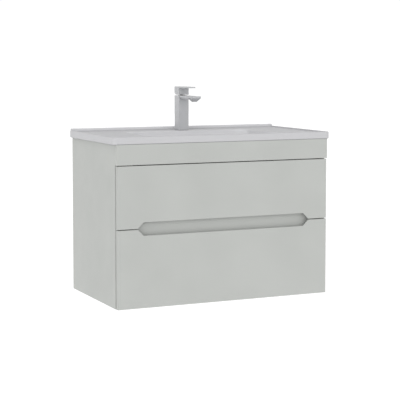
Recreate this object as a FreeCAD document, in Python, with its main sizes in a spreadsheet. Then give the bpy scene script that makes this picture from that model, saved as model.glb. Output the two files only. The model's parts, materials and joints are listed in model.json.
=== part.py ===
import FreeCAD, Part
import math
import os
import re
from collections import namedtuple

import Sketcher

# Wall-hung bathroom vanity: a cabinet with two drawers, a ceramic basin, its waste and a mixer tap.
# Frame in millimetres: +X to the right of a person facing it, +Y into the wall, +Z up.
# Origin: on the wall plane, on the centre line, at the underside of the cabinet.

SIZES = (
    # carcass
    ("cabinet_width", 780, "outer width over the side panels"),
    ("cabinet_height", 539, "height of the side panels"),
    ("carcass_depth", 422, "from the wall to the front edge of the carcass"),
    ("board", 16, "thickness of the carcass boards"),
    ("fascia_height", 67, "height of the fixed board under the basin"),
    ("stretcher_height", 60, "height of the board behind the fascia"),
    ("finger_rail_height", 74, "height of the rail behind the cut-out"),
    ("back_rail_height", 80, "height of the rail on the bottom panel, at the wall"),
    ("hanging_rail_height", 80, "height of the rail under the hangers"),
    ("hanging_rail_drop", 34, "from the top of the cabinet to the top of that rail"),
    ("hanging_rail_setback", 18, "from the wall to the back of that rail"),
    # drawer fronts
    ("front_thickness", 16, "thickness of a drawer front"),
    ("front_gap", 2, "from the carcass edge to the back of a shut front"),
    ("front_inset", 2, "from the side panel's outer face to the end of a front"),
    ("front_rounding", 1.5, "radius on the edges of the fronts"),
    ("groove", 3, "gap over and under the upper front"),
    ("upper_front_height", 206, "height of the upper front"),
    ("cutout_inset", 69.5, "from a front's end to the tip of the six-sided finger cut-out"),
    ("cutout_rise", 22, "half the height of the cut-out"),
    ("cutout_lip", 5, "edge left in front of the bevel behind the cut-out"),
    # drawer boxes
    ("box_wall_gap", 74, "from the wall to the back of the drawer boxes"),
    ("drawer_side", 12, "thickness of the drawer sides and backs"),
    ("drawer_bottom", 8, "thickness of the drawer bottoms"),
    ("bottom_raise", 8, "from the underside of a side to its groove"),
    ("bottom_tongue", 5, "how far the bottom goes into the side"),
    ("groove_play", 0.15, "play of the bottom in its groove"),
    ("box_under_bowl", 22.5, "from the upper drawer box up to the underside of the bowl"),
    ("box_over_bottom", 9, "from the bottom panel up to the lower drawer box"),
    ("box_clearance", 5.5, "from a drawer box to the finger rail"),
    ("trap_width", 220, "width of the cut-out round the trap"),
    ("trap_front", 80, "from the waste's axis to the front of that cut-out"),
    ("bracket_leg", 25, "length of each leg of a front bracket"),
    ("bracket_height", 60, "height of a front bracket"),
    ("bracket_sheet", 2, "thickness of a front bracket"),
    # runners
    ("runner_space", 13, "from the side panel to the drawer side"),
    ("runner_wall_gap", 70, "from the wall to the back end of the runners"),
    ("runner_height", 45, "height of the outer member"),
    ("runner_sheet", 1.2, "sheet thickness of the members"),
    ("runner_play", 0.5, "running gap above and below each member"),
    ("runner_front_setback", 2, "from the carcass edge to the runner's front end"),
    ("middle_member_back", 2.6, "from the side panel to the back of the middle member"),
    ("middle_member_reach", 8, "depth of the middle member's flanges"),
    ("inner_member_reach", 8.2, "depth of the inner member's flanges"),
    # cam fittings, dowels and screws
    ("cam_radius", 7.4, "radius of a cam disc"),
    ("cam_thickness", 12, "height of a cam disc"),
    ("cam_distance", 24, "from a board's end to its cam's axis"),
    ("cam_bolt_radius", 3, "radius of a cam bolt"),
    ("cam_bolt_bite", 11, "how far a cam bolt goes into the side panel"),
    ("dowel_radius", 4, "radius of a dowel"),
    ("dowel_in_rail", 20, "length of a dowel in the rail"),
    ("dowel_in_side", 10, "length of a dowel in the side panel"),
    ("fitting_play", 0.1, "radial play of screws, cams and dowels in their bores"),
    ("fitting_pitch", 30, "from a cam bolt to its dowel"),
    ("bottom_fitting_inset", 45, "from the bottom panel's edges to its cam bolts"),
    ("screw_radius", 1.75, "radius of a screw's shank"),
    ("screw_head_radius", 3.4, "radius of a screw's head"),
    ("screw_head", 0.8, "height of a screw's head"),
    ("screw_cover", 3, "wood left over the tips of the screws in the drawer sides"),
    ("screw_bite", 10, "how far a short screw goes into a board"),
    ("runner_screw_inset", 30, "from a runner's end to its first screw"),
    ("fascia_screw_bite", 11, "how far a fascia screw goes into the fascia"),
    ("fascia_screw_inset", 74, "from a side panel to the outer fascia screws"),
    ("bumper_radius", 4, "radius of a bumper pad"),
    ("bumper_height", 1.6, "height of a bumper pad"),
    ("bumper_inset", 25, "from a front's edge to its bumper pads"),
    # hangers and wall plates
    ("hanger_width", 12, "thickness of a hanger's housing"),
    ("hanger_depth", 34, "depth of a hanger's housing"),
    ("hanger_height", 52, "height of a hanger's housing"),
    ("hanger_rail_gap", 2, "from the hanging rail to the housing"),
    ("hanger_drop", 9, "from the top of the cabinet to the housing"),
    ("hook_sheet", 2.5, "thickness of the hook and of the wall plate"),
    ("hook_height", 4, "height of the hook's arm"),
    ("hook_play", 0.4, "play of the hook in the wall plate"),
    ("hook_bite", 12, "how far the hook hangs into the wall plate"),
    ("plate_width", 60, "width of a wall plate"),
    ("plate_height", 50, "height of a wall plate under its shelf"),
    ("plate_hole_inset", 15, "from the plate's ends to its screw holes"),
    ("plate_hole_radius", 3.5, "radius of the holes for the wall screws"),
    # basin
    ("basin_overhang", 12, "how far the basin stands over each side panel"),
    ("basin_rim", 24.5, "height of the basin's rim"),
    ("basin_corner", 14, "radius of the front corners"),
    ("basin_rounding", 4, "radius along the bottom edges"),
    ("rim_width", 12, "width of the raised rim round the deck"),
    ("deck_recess", 4, "how far the deck lies under the rim"),
    ("deck_corner", 8, "radius of the deck's corners"),
    ("rim_rounding", 3, "radius along the outer top edges of the rim"),
    ("upstand_depth", 17, "depth of the strip raised at the wall"),
    ("upstand_rise", 7, "how far it stands over the rim"),
    ("upstand_inset", 4, "from the basin's ends to the ends of that strip"),
    ("upstand_corner", 5, "radius of the strip's corners seen from above"),
    ("upstand_rounding", 3, "radius along its top edges"),
    ("bowl_length", 480, "length of the bowl's mouth"),
    ("bowl_front_rim", 55, "from the front of the basin to the bowl's mouth"),
    ("bowl_setback", 101, "from the wall to the bowl's mouth"),
    ("bowl_depth", 112, "from the deck to the bowl's floor"),
    ("bowl_slope", 11, "lean of the bowl's walls in degrees"),
    ("bowl_corner", 50, "radius of the bowl's corners"),
    ("bowl_floor_rounding", 25, "radius round the bowl's floor"),
    ("bowl_lip", 6, "radius round the bowl's mouth"),
    ("ceramic", 9, "thickness of the bowl's wall"),
    ("foot_side", 40, "width of the basin's foot at its ends"),
    ("foot_front", 46, "width of the foot at the front"),
    ("foot_back", 34, "width of the foot at the wall"),
    ("hollow", 10, "height of the hollow inside the foot"),
    # waste
    ("waste_tail", 20.95, "radius of the waste's thread"),
    ("waste_wall", 2.95, "wall of the waste's tail"),
    ("waste_hole_play", 1.55, "radial play of the thread in the hole in the bowl's floor"),
    ("waste_flange_lap", 8.5, "how far the waste's flange reaches past that hole"),
    ("waste_flange_height", 3, "height of the flange"),
    ("waste_length", 62, "length of the waste under the flange"),
    ("waste_free_thread", 41, "length of thread left for the trap's nut"),
    ("waste_relief", 0.8, "depth and height of the groove over that thread"),
    ("waste_seal_height", 4, "height of the seal under the bowl"),
    ("waste_seal_lap", 4.5, "how far that seal reaches past the hole"),
    ("waste_seat_play", 1, "radial play of the flange in its seat in the bowl's floor"),
    ("waste_nut_height", 9, "height of the backnut"),
    ("waste_nut_wall", 8.05, "from the thread to the backnut's corners"),
    ("plug_inset", 3, "from the flange's edge in to the plug's edge"),
    ("plug_height", 5, "height of the plug's cap"),
    ("plug_stem", 4, "radius of the plug's stem"),
    ("plug_gap", 0.6, "from the plug to the flange"),
    ("plug_stem_length", 37, "length of the plug's stem"),
    ("plug_edge", 3, "height of the plug's upright edge"),
    ("guide_drop", 31, "from the bowl's floor to the foot of the guide in the waste"),
    ("guide_height", 12, "height of that guide"),
    ("guide_wall", 3, "thickness of the guide's hub and bars"),
    # tap
    ("tap_setback", 72, "from the wall to the tap's axis"),
    ("tap_hole", 16.5, "radius of the tap hole"),
    ("gasket", 1, "height of the gasket under the tap"),
    ("gasket_inset", 0.5, "from the column's faces to the gasket's edges"),
    ("gasket_lip", 2, "how far the gasket reaches over the tap hole"),
    ("column", 39, "side of the tap's square column"),
    ("column_height", 123.3, "height of the column"),
    ("column_rounding", 1.6, "radius on the column's upright edges"),
    ("spout_reach", 131, "from the axis to the tip of the spout"),
    ("spout_width", 34, "width of the spout"),
    ("spout_plate", 6.5, "thickness of the spout's plate"),
    ("duct_width", 23, "width of the duct under that plate"),
    ("duct_drop", 12, "from the top of the column to the duct's underside"),
    ("nozzle_reach", 110, "from the axis to the aerator"),
    ("nozzle_drop", 19.5, "from the top of the column to the aerator's mouth"),
    ("nozzle_back", 97, "from the axis to where the nozzle starts under the spout"),
    ("nozzle_half", 10.5, "half the width of the nozzle's foot"),
    ("nozzle_corner", 1, "radius of the nozzle's corners at the spout"),
    ("aerator_radius", 9, "radius of the aerator housing"),
    ("aerator_wall", 1.5, "wall of the aerator housing"),
    ("aerator_height", 9, "height of the aerator housing"),
    ("aerator_stand", 1.5, "how far the housing stands out of the nozzle"),
    ("slot_width", 1, "width of the slots in the aerator insert"),
    ("slot_pitch", 2.5, "distance from one slot to the next"),
    ("water_way", 3.5, "radius of the water way in the spout"),
    ("cartridge_radius", 12.8, "radius of the cartridge"),
    ("cartridge_height", 36, "height of the cartridge"),
    ("ring_height", 5, "height of the ring that holds the cartridge"),
    ("ring_stand", 1, "how far the ring stands out of the column"),
    ("inlet_radius", 4.5, "core radius of the hose inlets"),
    ("inlet_depth", 14, "depth of the hose inlets"),
    ("inlet_spread", 8, "from the centre line to each hose inlet"),
    ("inlet_front", 3, "from the axis forward to the hose inlets"),
    ("stud_radius", 3.9, "radius of the fixing stud"),
    ("stud_setback", 9.5, "from the axis back to the stud"),
    ("stud_length", 66, "length of the stud"),
    ("clamp_plate", 3, "thickness of the clamp plate"),
    ("clamp_rest", 3, "how far the clamp plate reaches past the tap hole"),
    ("tap_nut_wall", 3.6, "from the stud to the corners of its nut"),
    ("tap_nut_height", 7, "height of the fixing nut"),
    # lever
    ("lever_gap", 3, "from the column to the lever's block"),
    ("lever_block", 23.6, "height of the lever's block"),
    ("lever_plate", 5.5, "thickness of the lever's plate"),
    ("lever_reach", 78, "from the axis to the tip of the lever"),
    ("lever_bevel_run", 12, "depth of the bevel under the lever's back edge"),
    ("lever_bevel_rise", 6.5, "height of that bevel"),
    ("front_bevel", 1.5, "bevel under the block's front edge"),
    ("plate_rise", 1, "how far the plate's underside rises to its tip"),
    ("lever_rounding", 0.8, "radius round the top of the lever"),
    ("lever_wall", 4, "wall round the hollow under the lever"),
    ("lever_hollow", 15, "height of that hollow"),
    ("pivot_setback", 2, "from the tap's axis back to the lever's pin"),
    ("pivot_rise", 4, "from the lever's underside up to that pin"),
    ("pivot_radius", 1.8, "radius of the pin"),
    ("pivot_play", 0.05, "radial play of the pin in the lever"),
    ("spindle_width", 8, "width of the spindle's lug"),
    ("lug_margin", 3, "from the pin and the axis to the edges of that lug"),
    ("lug_skirt", 1, "how far the lug stands under the lever"),
    ("stem_radius", 5.8, "radius of the spindle's stem"),
    ("stem_play", 0.4, "gap round and under that stem"),
    ("socket_depth", 10, "depth of the cartridge's socket for the stem"),
)

doc = FreeCAD.newDocument("vanity")
sheet = doc.addObject("Spreadsheet::Sheet", "sizes")
for row, (alias, number, meaning) in enumerate(SIZES, start=1):
    sheet.set(f"A{row}", meaning)
    sheet.set(f"B{row}", str(number))
    sheet.setAlias(f"B{row}", alias)
doc.recompute()
ALIASES = {alias for alias, number, meaning in SIZES}
NODES = []

# Planes and edges that several pieces share, as expressions in the sheet's names.
INNER = "(cabinet_width / 2 - board)"
BOX_SIDE = f"({INNER} - runner_space)"
CARCASS_EDGE = "(-carcass_depth)"
FRONT_BACK = "(-carcass_depth - front_gap)"
FASCIA_FOOT = "(cabinet_height - fascia_height)"
UPPER_FRONT_FOOT = f"({FASCIA_FOOT} - groove - upper_front_height)"
LOWER_FRONT_HEIGHT = f"({UPPER_FRONT_FOOT} - groove)"
GROOVE_MIDDLE = f"({UPPER_FRONT_FOOT} - groove / 2)"
RAIL_FOOT = f"({GROOVE_MIDDLE} - finger_rail_height / 2)"
RAIL_TOP = f"({GROOVE_MIDDLE} + finger_rail_height / 2)"
UPPER_BOX = f"({RAIL_TOP} + box_clearance)"
LOWER_BOX = "(board + box_over_bottom)"
LOWER_BOX_HEIGHT = f"({RAIL_FOOT} - box_clearance - {LOWER_BOX})"
BOX_BACK = "(-box_wall_gap)"
INSIDE = f"({BOX_SIDE} - drawer_side)"
HANGING_RAIL_TOP = "(cabinet_height - hanging_rail_drop)"
DECK = "(basin_rim - deck_recess)"
WASTE_BORE = "(waste_tail - waste_wall)"
WASTE_HOLE = "(waste_tail + waste_hole_play)"
WASTE_FLANGE = f"({WASTE_HOLE} + waste_flange_lap)"
PLUG_RADIUS = f"({WASTE_FLANGE} - plug_inset)"
BASIN_DEPTH = "(carcass_depth + front_gap + front_thickness)"
BOWL_FRONT = f"(bowl_front_rim - {BASIN_DEPTH})"
BOWL_MIDDLE = f"(({BOWL_FRONT} - bowl_setback) / 2)"
BOWL_FLOOR = f"(cabinet_height + {DECK} - bowl_depth)"
BOWL_UNDER = f"({BOWL_FLOOR} - ceramic)"
UPPER_BOX_HEIGHT = f"({BOWL_UNDER} - box_under_bowl - {UPPER_BOX})"
TAP_FOOT = f"(cabinet_height + {DECK} + gasket)"
COLUMN_TOP = f"({TAP_FOOT} + column_height)"
LEVER_FOOT = f"({COLUMN_TOP} + lever_gap)"


# ---- expressions -------------------------------------------------------------------------------

def linked(text):
    """Put the sheet's name before each alias, so that the text can drive a property."""
    return re.sub(
        r"[a-z_]+", lambda word: f"sizes.{word[0]}" if word[0] in ALIASES else word[0], str(text)
    )


def value(text):
    """The number that an expression in the sheet's names comes to."""
    return float(sheet.evalExpression(linked(text)))


def place(piece, point):
    """Drive a piece's position by three expressions."""
    for axis, text in zip("xyz", point):
        piece.setExpression(f"Placement.Base.{axis}", linked(text))


def node(piece, label):
    """Name a finished piece and keep it for writing."""
    piece.Label = label
    NODES.append(piece)
    return piece


# ---- primitives and booleans -------------------------------------------------------------------

TURNS = {
    "+x": FreeCAD.Rotation(FreeCAD.Vector(0, 1, 0), 90),
    "-x": FreeCAD.Rotation(FreeCAD.Vector(0, 1, 0), -90),
    "+y": FreeCAD.Rotation(FreeCAD.Vector(1, 0, 0), -90),
    "-y": FreeCAD.Rotation(FreeCAD.Vector(1, 0, 0), 90),
    "+z": FreeCAD.Rotation(),
    "-z": FreeCAD.Rotation(FreeCAD.Vector(1, 0, 0), 180),
}
OPPOSITE = {"+x": "-x", "-x": "+x", "+y": "-y", "-y": "+y", "+z": "-z", "-z": "+z"}


def block(low, high, name="block"):
    """A box between two corners."""
    piece = doc.addObject("Part::Box", name)
    for side, near, far in zip(("Length", "Width", "Height"), low, high):
        piece.setExpression(side, linked(f"({far}) - ({near})"))
    place(piece, low)
    return piece


def rod(start, way, radius, length, name="rod"):
    """A cylinder that runs from a point along one of the six axis directions."""
    piece = doc.addObject("Part::Cylinder", name)
    piece.Placement = FreeCAD.Placement(FreeCAD.Vector(), TURNS[way])
    piece.setExpression("Radius", linked(radius))
    piece.setExpression("Height", linked(length))
    place(piece, start)
    return piece


def fused(pieces, name="fused"):
    """Several pieces made one."""
    if len(pieces) == 1:
        return pieces[0]
    piece = doc.addObject("Part::MultiFuse", name)
    piece.Shapes = pieces
    return piece


def cut(base, tools, name="cut"):
    """A piece with tools taken out of it."""
    piece = doc.addObject("Part::Cut", name)
    piece.Base = base
    piece.Tool = fused(tools)
    return piece


def group(pieces, label):
    """Separate solids kept together in one node."""
    piece = doc.addObject("Part::Compound", label)
    piece.Links = pieces
    return node(piece, label)


def signed(side, text):
    """An expression mirrored to the left, for side -1, or kept, for side 1."""
    return f"({side}) * ({text})"


def sideways(side, low, high):
    """A box given for the right-hand side, or its mirror image on the left."""
    if side > 0:
        return block(low, high)
    return block((signed(-1, high[0]), *low[1:]), (signed(-1, low[0]), *high[1:]))


def outward(side):
    """The axis direction that points away from the centre line."""
    return "+x" if side > 0 else "-x"


def screw(start, way, length):
    """A pan-head screw whose head rests at start and whose shank runs along way."""
    head = rod(start, OPPOSITE[way], "screw_head_radius", "screw_head")
    shank = rod(start, way, "screw_radius", length)
    return fused([head, shank], "screw")


def pilot(start, way, length):
    """The hole that a screw's shank fits."""
    return rod(start, way, "screw_radius + fitting_play", f"{length} + 2 * fitting_play")


# ---- sketches and bodies -----------------------------------------------------------------------

def new_body(label, origin):
    """A body whose own frame lies at a point given by three expressions."""
    body = doc.addObject("PartDesign::Body", label)
    place(body, origin)
    return node(body, label)


def sketch_on(body, role, offset="0"):
    """A sketch on one of the body's own origin planes, moved along its normal."""
    sketch = body.newObject("Sketcher::SketchObject", "sketch")
    plane = next(item for item in body.Origin.OriginFeatures if item.Role == role)
    sketch.AttachmentSupport = (plane, "")
    sketch.MapMode = "FlatFace"
    sketch.setExpression("AttachmentOffset.Base.z", linked(offset))
    return sketch


def pin_point(sketch, geometry, point, corner):
    """Hold a point of a sketch at two expressions, measured from the sketch's origin."""
    for kind, text in zip(("DistanceX", "DistanceY"), corner):
        index = sketch.addConstraint(
            Sketcher.Constraint(kind, -1, 1, geometry, point, value(text))
        )
        sketch.setExpression(f"Constraints[{index}]", linked(text))


def outline(sketch, corners):
    """A closed outline of straight lines through corners given by expressions."""
    points = [FreeCAD.Vector(value(x), value(y), 0) for x, y in corners]
    count = len(points)
    for index, point in enumerate(points):
        sketch.addGeometry(Part.LineSegment(point, points[(index + 1) % count]), False)
    for index in range(count):
        sketch.addConstraint(Sketcher.Constraint("Coincident", index, 2, (index + 1) % count, 1))
    for index, corner in enumerate(corners):
        pin_point(sketch, index, 1, corner)


def rectangle(sketch, left, right, front, back):
    """A rectangle between four expressions."""
    outline(sketch, ((left, front), (right, front), (right, back), (left, back)))


def rounded(sketch, left, right, front, back, radius):
    """A rectangle between four expressions, with corners of one radius."""
    x0, x1, y0, y1, turn = (value(text) for text in (left, right, front, back, radius))
    sides = (
        ((x0 + turn, y0), (x1 - turn, y0)), ((x1, y0 + turn), (x1, y1 - turn)),
        ((x1 - turn, y1), (x0 + turn, y1)), ((x0, y1 - turn), (x0, y0 + turn)),
    )
    middles = (
        (x1 - turn, y0 + turn), (x1 - turn, y1 - turn), (x0 + turn, y1 - turn), (x0 + turn, y0 + turn),
    )
    for start, end in sides:
        line = Part.LineSegment(FreeCAD.Vector(*start, 0), FreeCAD.Vector(*end, 0))
        sketch.addGeometry(line, False)
    for quarter, middle in enumerate(middles):
        whole = Part.Circle(FreeCAD.Vector(*middle, 0), FreeCAD.Vector(0, 0, 1), turn)
        begin = math.pi / 2 * (quarter - 1)
        sketch.addGeometry(Part.ArcOfCircle(whole, begin, begin + math.pi / 2), False)
    for quarter in range(4):
        arc = 4 + quarter
        sketch.addConstraint(Sketcher.Constraint("Tangent", quarter, 2, arc, 1))
        sketch.addConstraint(Sketcher.Constraint("Tangent", arc, 2, (quarter + 1) % 4, 1))
        if quarter:
            sketch.addConstraint(Sketcher.Constraint("Equal", 4, arc))
    sketch.addConstraint(Sketcher.Constraint("Horizontal", 0))
    sketch.addConstraint(Sketcher.Constraint("Vertical", 1))
    held = (("DistanceY", 0, front), ("DistanceX", 1, right), ("DistanceY", 2, back),
            ("DistanceX", 3, left))
    for kind, line, text in held:
        index = sketch.addConstraint(Sketcher.Constraint(kind, -1, 1, line, 1, value(text)))
        sketch.setExpression(f"Constraints[{index}]", linked(text))
    size = sketch.addConstraint(Sketcher.Constraint("Radius", 4, value(radius)))
    sketch.setExpression(f"Constraints[{size}]", linked(radius))


def circle(sketch, centre, radius):
    """A circle whose centre and radius are expressions."""
    middle = FreeCAD.Vector(value(centre[0]), value(centre[1]), 0)
    index = sketch.addGeometry(
        Part.Circle(middle, FreeCAD.Vector(0, 0, 1), value(radius)), False
    )
    pin_point(sketch, index, 3, centre)
    turn = sketch.addConstraint(Sketcher.Constraint("Radius", index, value(radius)))
    sketch.setExpression(f"Constraints[{turn}]", linked(radius))


def add_feature(body, kind, sketch, length, **settings):
    """A pad or pocket of a sketch, with its volume checked against the solid before it."""
    before = body.Shape.Volume if body.Tip else 0.0
    feature = body.newObject(kind, "feature")
    feature.Profile = sketch
    feature.setExpression("Length", linked(length))
    for name, setting in settings.items():
        if name == "taper":
            feature.setExpression("TaperAngle", linked(setting))
        else:
            setattr(feature, name, setting)
    doc.recompute()
    grown = body.Shape.Volume - before
    if (grown > 0) != (kind == "PartDesign::Pad") or abs(grown) < 1e-3:
        raise RuntimeError(f"{body.Label}: {feature.Name} changed the volume by {grown:.3f}")
    return feature


def pad(body, sketch, length, **settings):
    """Material added along the sketch's normal, or against it with Reversed."""
    return add_feature(body, "PartDesign::Pad", sketch, length, **settings)


def pocket(body, sketch, length, **settings):
    """Material taken away against the sketch's normal, or along it with Reversed."""
    return add_feature(body, "PartDesign::Pocket", sketch, length, **settings)


def loft(body, first, second):
    """Material between two outlines, added to the body."""
    before = body.Shape.Volume
    feature = body.newObject("PartDesign::AdditiveLoft", "feature")
    feature.Profile = first
    feature.Sections = [second]
    feature.Ruled = True
    doc.recompute()
    if body.Shape.Volume <= before:
        raise RuntimeError(f"{body.Label}: the loft added nothing")
    return feature


def revolve(body, sketch):
    """A full turn about the body's upright axis."""
    feature = body.newObject("PartDesign::Revolution", "feature")
    feature.Profile = sketch
    feature.ReferenceAxis = (sketch, ["V_Axis"])
    feature.Angle = 360
    doc.recompute()
    return feature


def dress(body, kind, size, choose):
    """A fillet or chamfer of the edges whose bounding boxes a test chooses."""
    base = body.Tip
    names = [
        f"Edge{number}"
        for number, edge in enumerate(base.Shape.Edges, start=1)
        if choose(edge.BoundBox)
    ]
    if not names:
        raise RuntimeError(f"{body.Label}: no edge for {kind}")
    feature = body.newObject(f"PartDesign::{kind}", kind.lower())
    feature.Base = (base, names)
    feature.setExpression("Radius" if kind == "Fillet" else "Size", linked(size))
    doc.recompute()
    if feature.State and "Invalid" in feature.State:
        raise RuntimeError(f"{body.Label}: {kind} of {size} failed")
    return feature


def near(number, text, slack=0.01):
    """Whether a coordinate lies at the place that an expression gives."""
    return abs(number - value(text)) < slack


def upright(box):
    """Whether an edge runs straight up."""
    return box.XLength < 0.01 and box.YLength < 0.01


def level_at(text):
    """A test for edges that lie flat at one height."""
    return lambda box: box.ZLength < 0.01 and near(box.ZMin, text)


# ---- cabinet -----------------------------------------------------------------------------------

Joint = namedtuple("Joint", "board axis_y axis_z dowel_y dowel_z face into")
RAIL_Y = f"({CARCASS_EDGE} + board / 2)"
JOINTS = (
    Joint("bottom_panel", f"{CARCASS_EDGE} + bottom_fitting_inset", "board / 2",
          f"{CARCASS_EDGE} + bottom_fitting_inset + fitting_pitch", "board / 2", "board", "-z"),
    Joint("bottom_panel", "-bottom_fitting_inset", "board / 2",
          "-bottom_fitting_inset - fitting_pitch", "board / 2", "board", "-z"),
    Joint("lower_back_rail", "-board / 2", "board + back_rail_height / 2 + fitting_pitch / 2",
          "-board / 2", "board + back_rail_height / 2 - fitting_pitch / 2", "-board", "+y"),
    Joint("hanging_rail", "-hanging_rail_setback - board / 2",
          f"{HANGING_RAIL_TOP} - hanging_rail_height / 2 + fitting_pitch / 2",
          "-hanging_rail_setback - board / 2",
          f"{HANGING_RAIL_TOP} - hanging_rail_height / 2 - fitting_pitch / 2",
          "-hanging_rail_setback - board", "+y"),
    Joint("front_stretcher", RAIL_Y, "cabinet_height - stretcher_height / 2 + fitting_pitch / 2",
          RAIL_Y, "cabinet_height - stretcher_height / 2 - fitting_pitch / 2",
          f"{CARCASS_EDGE} + board", "-y"),
    Joint("finger_rail", RAIL_Y, f"{GROOVE_MIDDLE} + fitting_pitch / 2",
          RAIL_Y, f"{GROOVE_MIDDLE} - fitting_pitch / 2", f"{CARCASS_EDGE} + board", "-y"),
)
RUNNERS = {
    "upper": f"({UPPER_BOX} + {UPPER_BOX_HEIGHT} / 2)",
    "lower": f"({LOWER_BOX} + {LOWER_BOX_HEIGHT} / 2)",
}
RUNNER_FRONT = f"({CARCASS_EDGE} + runner_front_setback)"
RUNNER_SCREWS = (
    f"{RUNNER_FRONT} + runner_screw_inset",
    f"({RUNNER_FRONT} - runner_wall_gap) / 2",
    "-runner_wall_gap - runner_screw_inset",
)
HANGER_BACK = "(-hanging_rail_setback - board - hanger_rail_gap)"
HANGER_Y = f"({HANGER_BACK} - hanger_depth / 2)"
HANGER_TOP = "(cabinet_height - hanger_drop)"
HANGER_SCREWS = (
    f"{HANGER_TOP} - hanger_height / 4",
    f"{HANGER_TOP} - 3 * hanger_height / 4",
)


def cam_centre(joint, side):
    """The point where a cam's axis meets the face that it is bored from."""
    across = signed(side, f"{INNER} - cam_distance")
    if joint.into == "-z":
        return across, joint.axis_y, joint.face
    return across, joint.face, joint.axis_z


def cam_bolt(joint, side, play="0"):
    """A cam bolt, from inside its cam to its end in the side panel."""
    start = (signed(side, f"{INNER} - cam_distance + cam_bolt_radius"), joint.axis_y, joint.axis_z)
    length = f"cam_distance - cam_bolt_radius + cam_bolt_bite + 2 * ({play})"
    return rod(start, outward(side), f"cam_bolt_radius + {play}", length)


def dowel(joint, side, play="0"):
    """A dowel, half in the rail and half in the side panel."""
    start = (signed(side, f"{INNER} - dowel_in_rail - {play}"), joint.dowel_y, joint.dowel_z)
    length = f"dowel_in_rail + dowel_in_side + 2 * ({play})"
    return rod(start, outward(side), f"dowel_radius + {play}", length)


def drillings(side, joints):
    """The bores for the bolts and dowels of some joints on one side."""
    tools = []
    for joint in joints:
        tools.append(cam_bolt(joint, side, "fitting_play"))
        tools.append(dowel(joint, side, "fitting_play"))
    return tools


def cam_bores(side, joints):
    """The bores that hold the cams of some joints on one side."""
    return [
        rod(cam_centre(joint, side), joint.into, "cam_radius + fitting_play",
            "cam_thickness + 5 * fitting_play")
        for joint in joints
    ]


def make_side_panel(side, label):
    """A side panel, drilled for its fittings, runners and hanger."""
    panel = sideways(
        side, (INNER, CARCASS_EDGE, "0"), ("cabinet_width / 2", "0", "cabinet_height")
    )
    tools = drillings(side, JOINTS)
    for height in RUNNERS.values():
        tools += [
            pilot((signed(side, INNER), across, height), outward(side), "screw_bite")
            for across in RUNNER_SCREWS
        ]
    tools += [
        pilot((signed(side, INNER), HANGER_Y, height), outward(side), "screw_bite")
        for height in HANGER_SCREWS
    ]
    node(cut(panel, tools), label)


def make_rail(label, low, high, extra=()):
    """A board between the side panels, bored at both ends for its fittings."""
    joints = [joint for joint in JOINTS if joint.board == label]
    tools = list(extra)
    for side in (-1, 1):
        tools += drillings(side, joints) + cam_bores(side, joints)
    board = block((f"-{INNER}", *low), (INNER, *high))
    node(cut(board, tools), label)


FASCIA_SCREWS = [
    (f"{share} * ({INNER} - fascia_screw_inset)", f"{CARCASS_EDGE} + board",
     "cabinet_height - stretcher_height / 2")
    for share in ("-1", "-1 / 3", "1 / 3", "1")
]


def make_carcass():
    """The fixed boards of the cabinet."""
    make_side_panel(-1, "side_panel_left")
    make_side_panel(1, "side_panel_right")
    make_rail("bottom_panel", (CARCASS_EDGE, "0"), ("0", "board"))
    make_rail("lower_back_rail", ("-board", "board"), ("0", "board + back_rail_height"))
    make_rail(
        "hanging_rail",
        ("-hanging_rail_setback - board", f"{HANGING_RAIL_TOP} - hanging_rail_height"),
        ("-hanging_rail_setback", HANGING_RAIL_TOP),
    )
    make_rail("finger_rail", (CARCASS_EDGE, RAIL_FOOT), (f"{CARCASS_EDGE} + board", RAIL_TOP))
    make_rail(
        "front_stretcher",
        (CARCASS_EDGE, "cabinet_height - stretcher_height"),
        (f"{CARCASS_EDGE} + board", "cabinet_height"),
        [pilot(point, "-y", "board") for point in FASCIA_SCREWS],
    )


def make_fascia():
    """The fixed board under the basin, screwed on from behind."""
    board = new_body("fascia_board", ("0", CARCASS_EDGE, FASCIA_FOOT))
    profile = sketch_on(board, "XZ_Plane")
    rectangle(profile, "-cabinet_width / 2", "cabinet_width / 2", "0", "fascia_height")
    pad(board, profile, "front_gap + front_thickness")
    holes = sketch_on(board, "XZ_Plane")
    for across, _, height in FASCIA_SCREWS:
        circle(holes, (across, f"{height} - {FASCIA_FOOT}"), "screw_radius + fitting_play")
    pocket(board, holes, "fascia_screw_bite + 5 * fitting_play", Reversed=True)
    face = "-front_gap - front_thickness"
    dress(board, "Fillet", "front_rounding / 2",
          lambda box: box.YLength < 0.01 and near(box.YMin, face) and box.ZLength < 0.01)


def make_fittings():
    """Cams, cam bolts, dowels, screws and bumper pads of the cabinet."""
    cams = []
    bolts = []
    dowels = []
    for joint in JOINTS:
        for side in (-1, 1):
            disc = rod(cam_centre(joint, side), joint.into, "cam_radius", "cam_thickness")
            cams.append(cut(disc, [cam_bolt(joint, side, "3 * fitting_play")]))
            bolts.append(cam_bolt(joint, side))
            dowels.append(dowel(joint, side))
    group(cams, "cam_discs")
    group(bolts, "cam_bolts")
    group(dowels, "dowels")
    length = "board + fascia_screw_bite"
    group([screw(point, "-y", length) for point in FASCIA_SCREWS], "fascia_screws")
    heights = (
        "bumper_inset",
        f"{LOWER_FRONT_HEIGHT} - bumper_inset",
        f"{UPPER_FRONT_FOOT} + bumper_inset",
        f"{FASCIA_FOOT} - groove - bumper_inset",
    )
    pads = [
        rod((signed(side, f"{INNER} + board / 2"), CARCASS_EDGE, height), "-y", "bumper_radius",
            "bumper_height")
        for side in (-1, 1)
        for height in heights
    ]
    group(pads, "bumper_pads")


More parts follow.
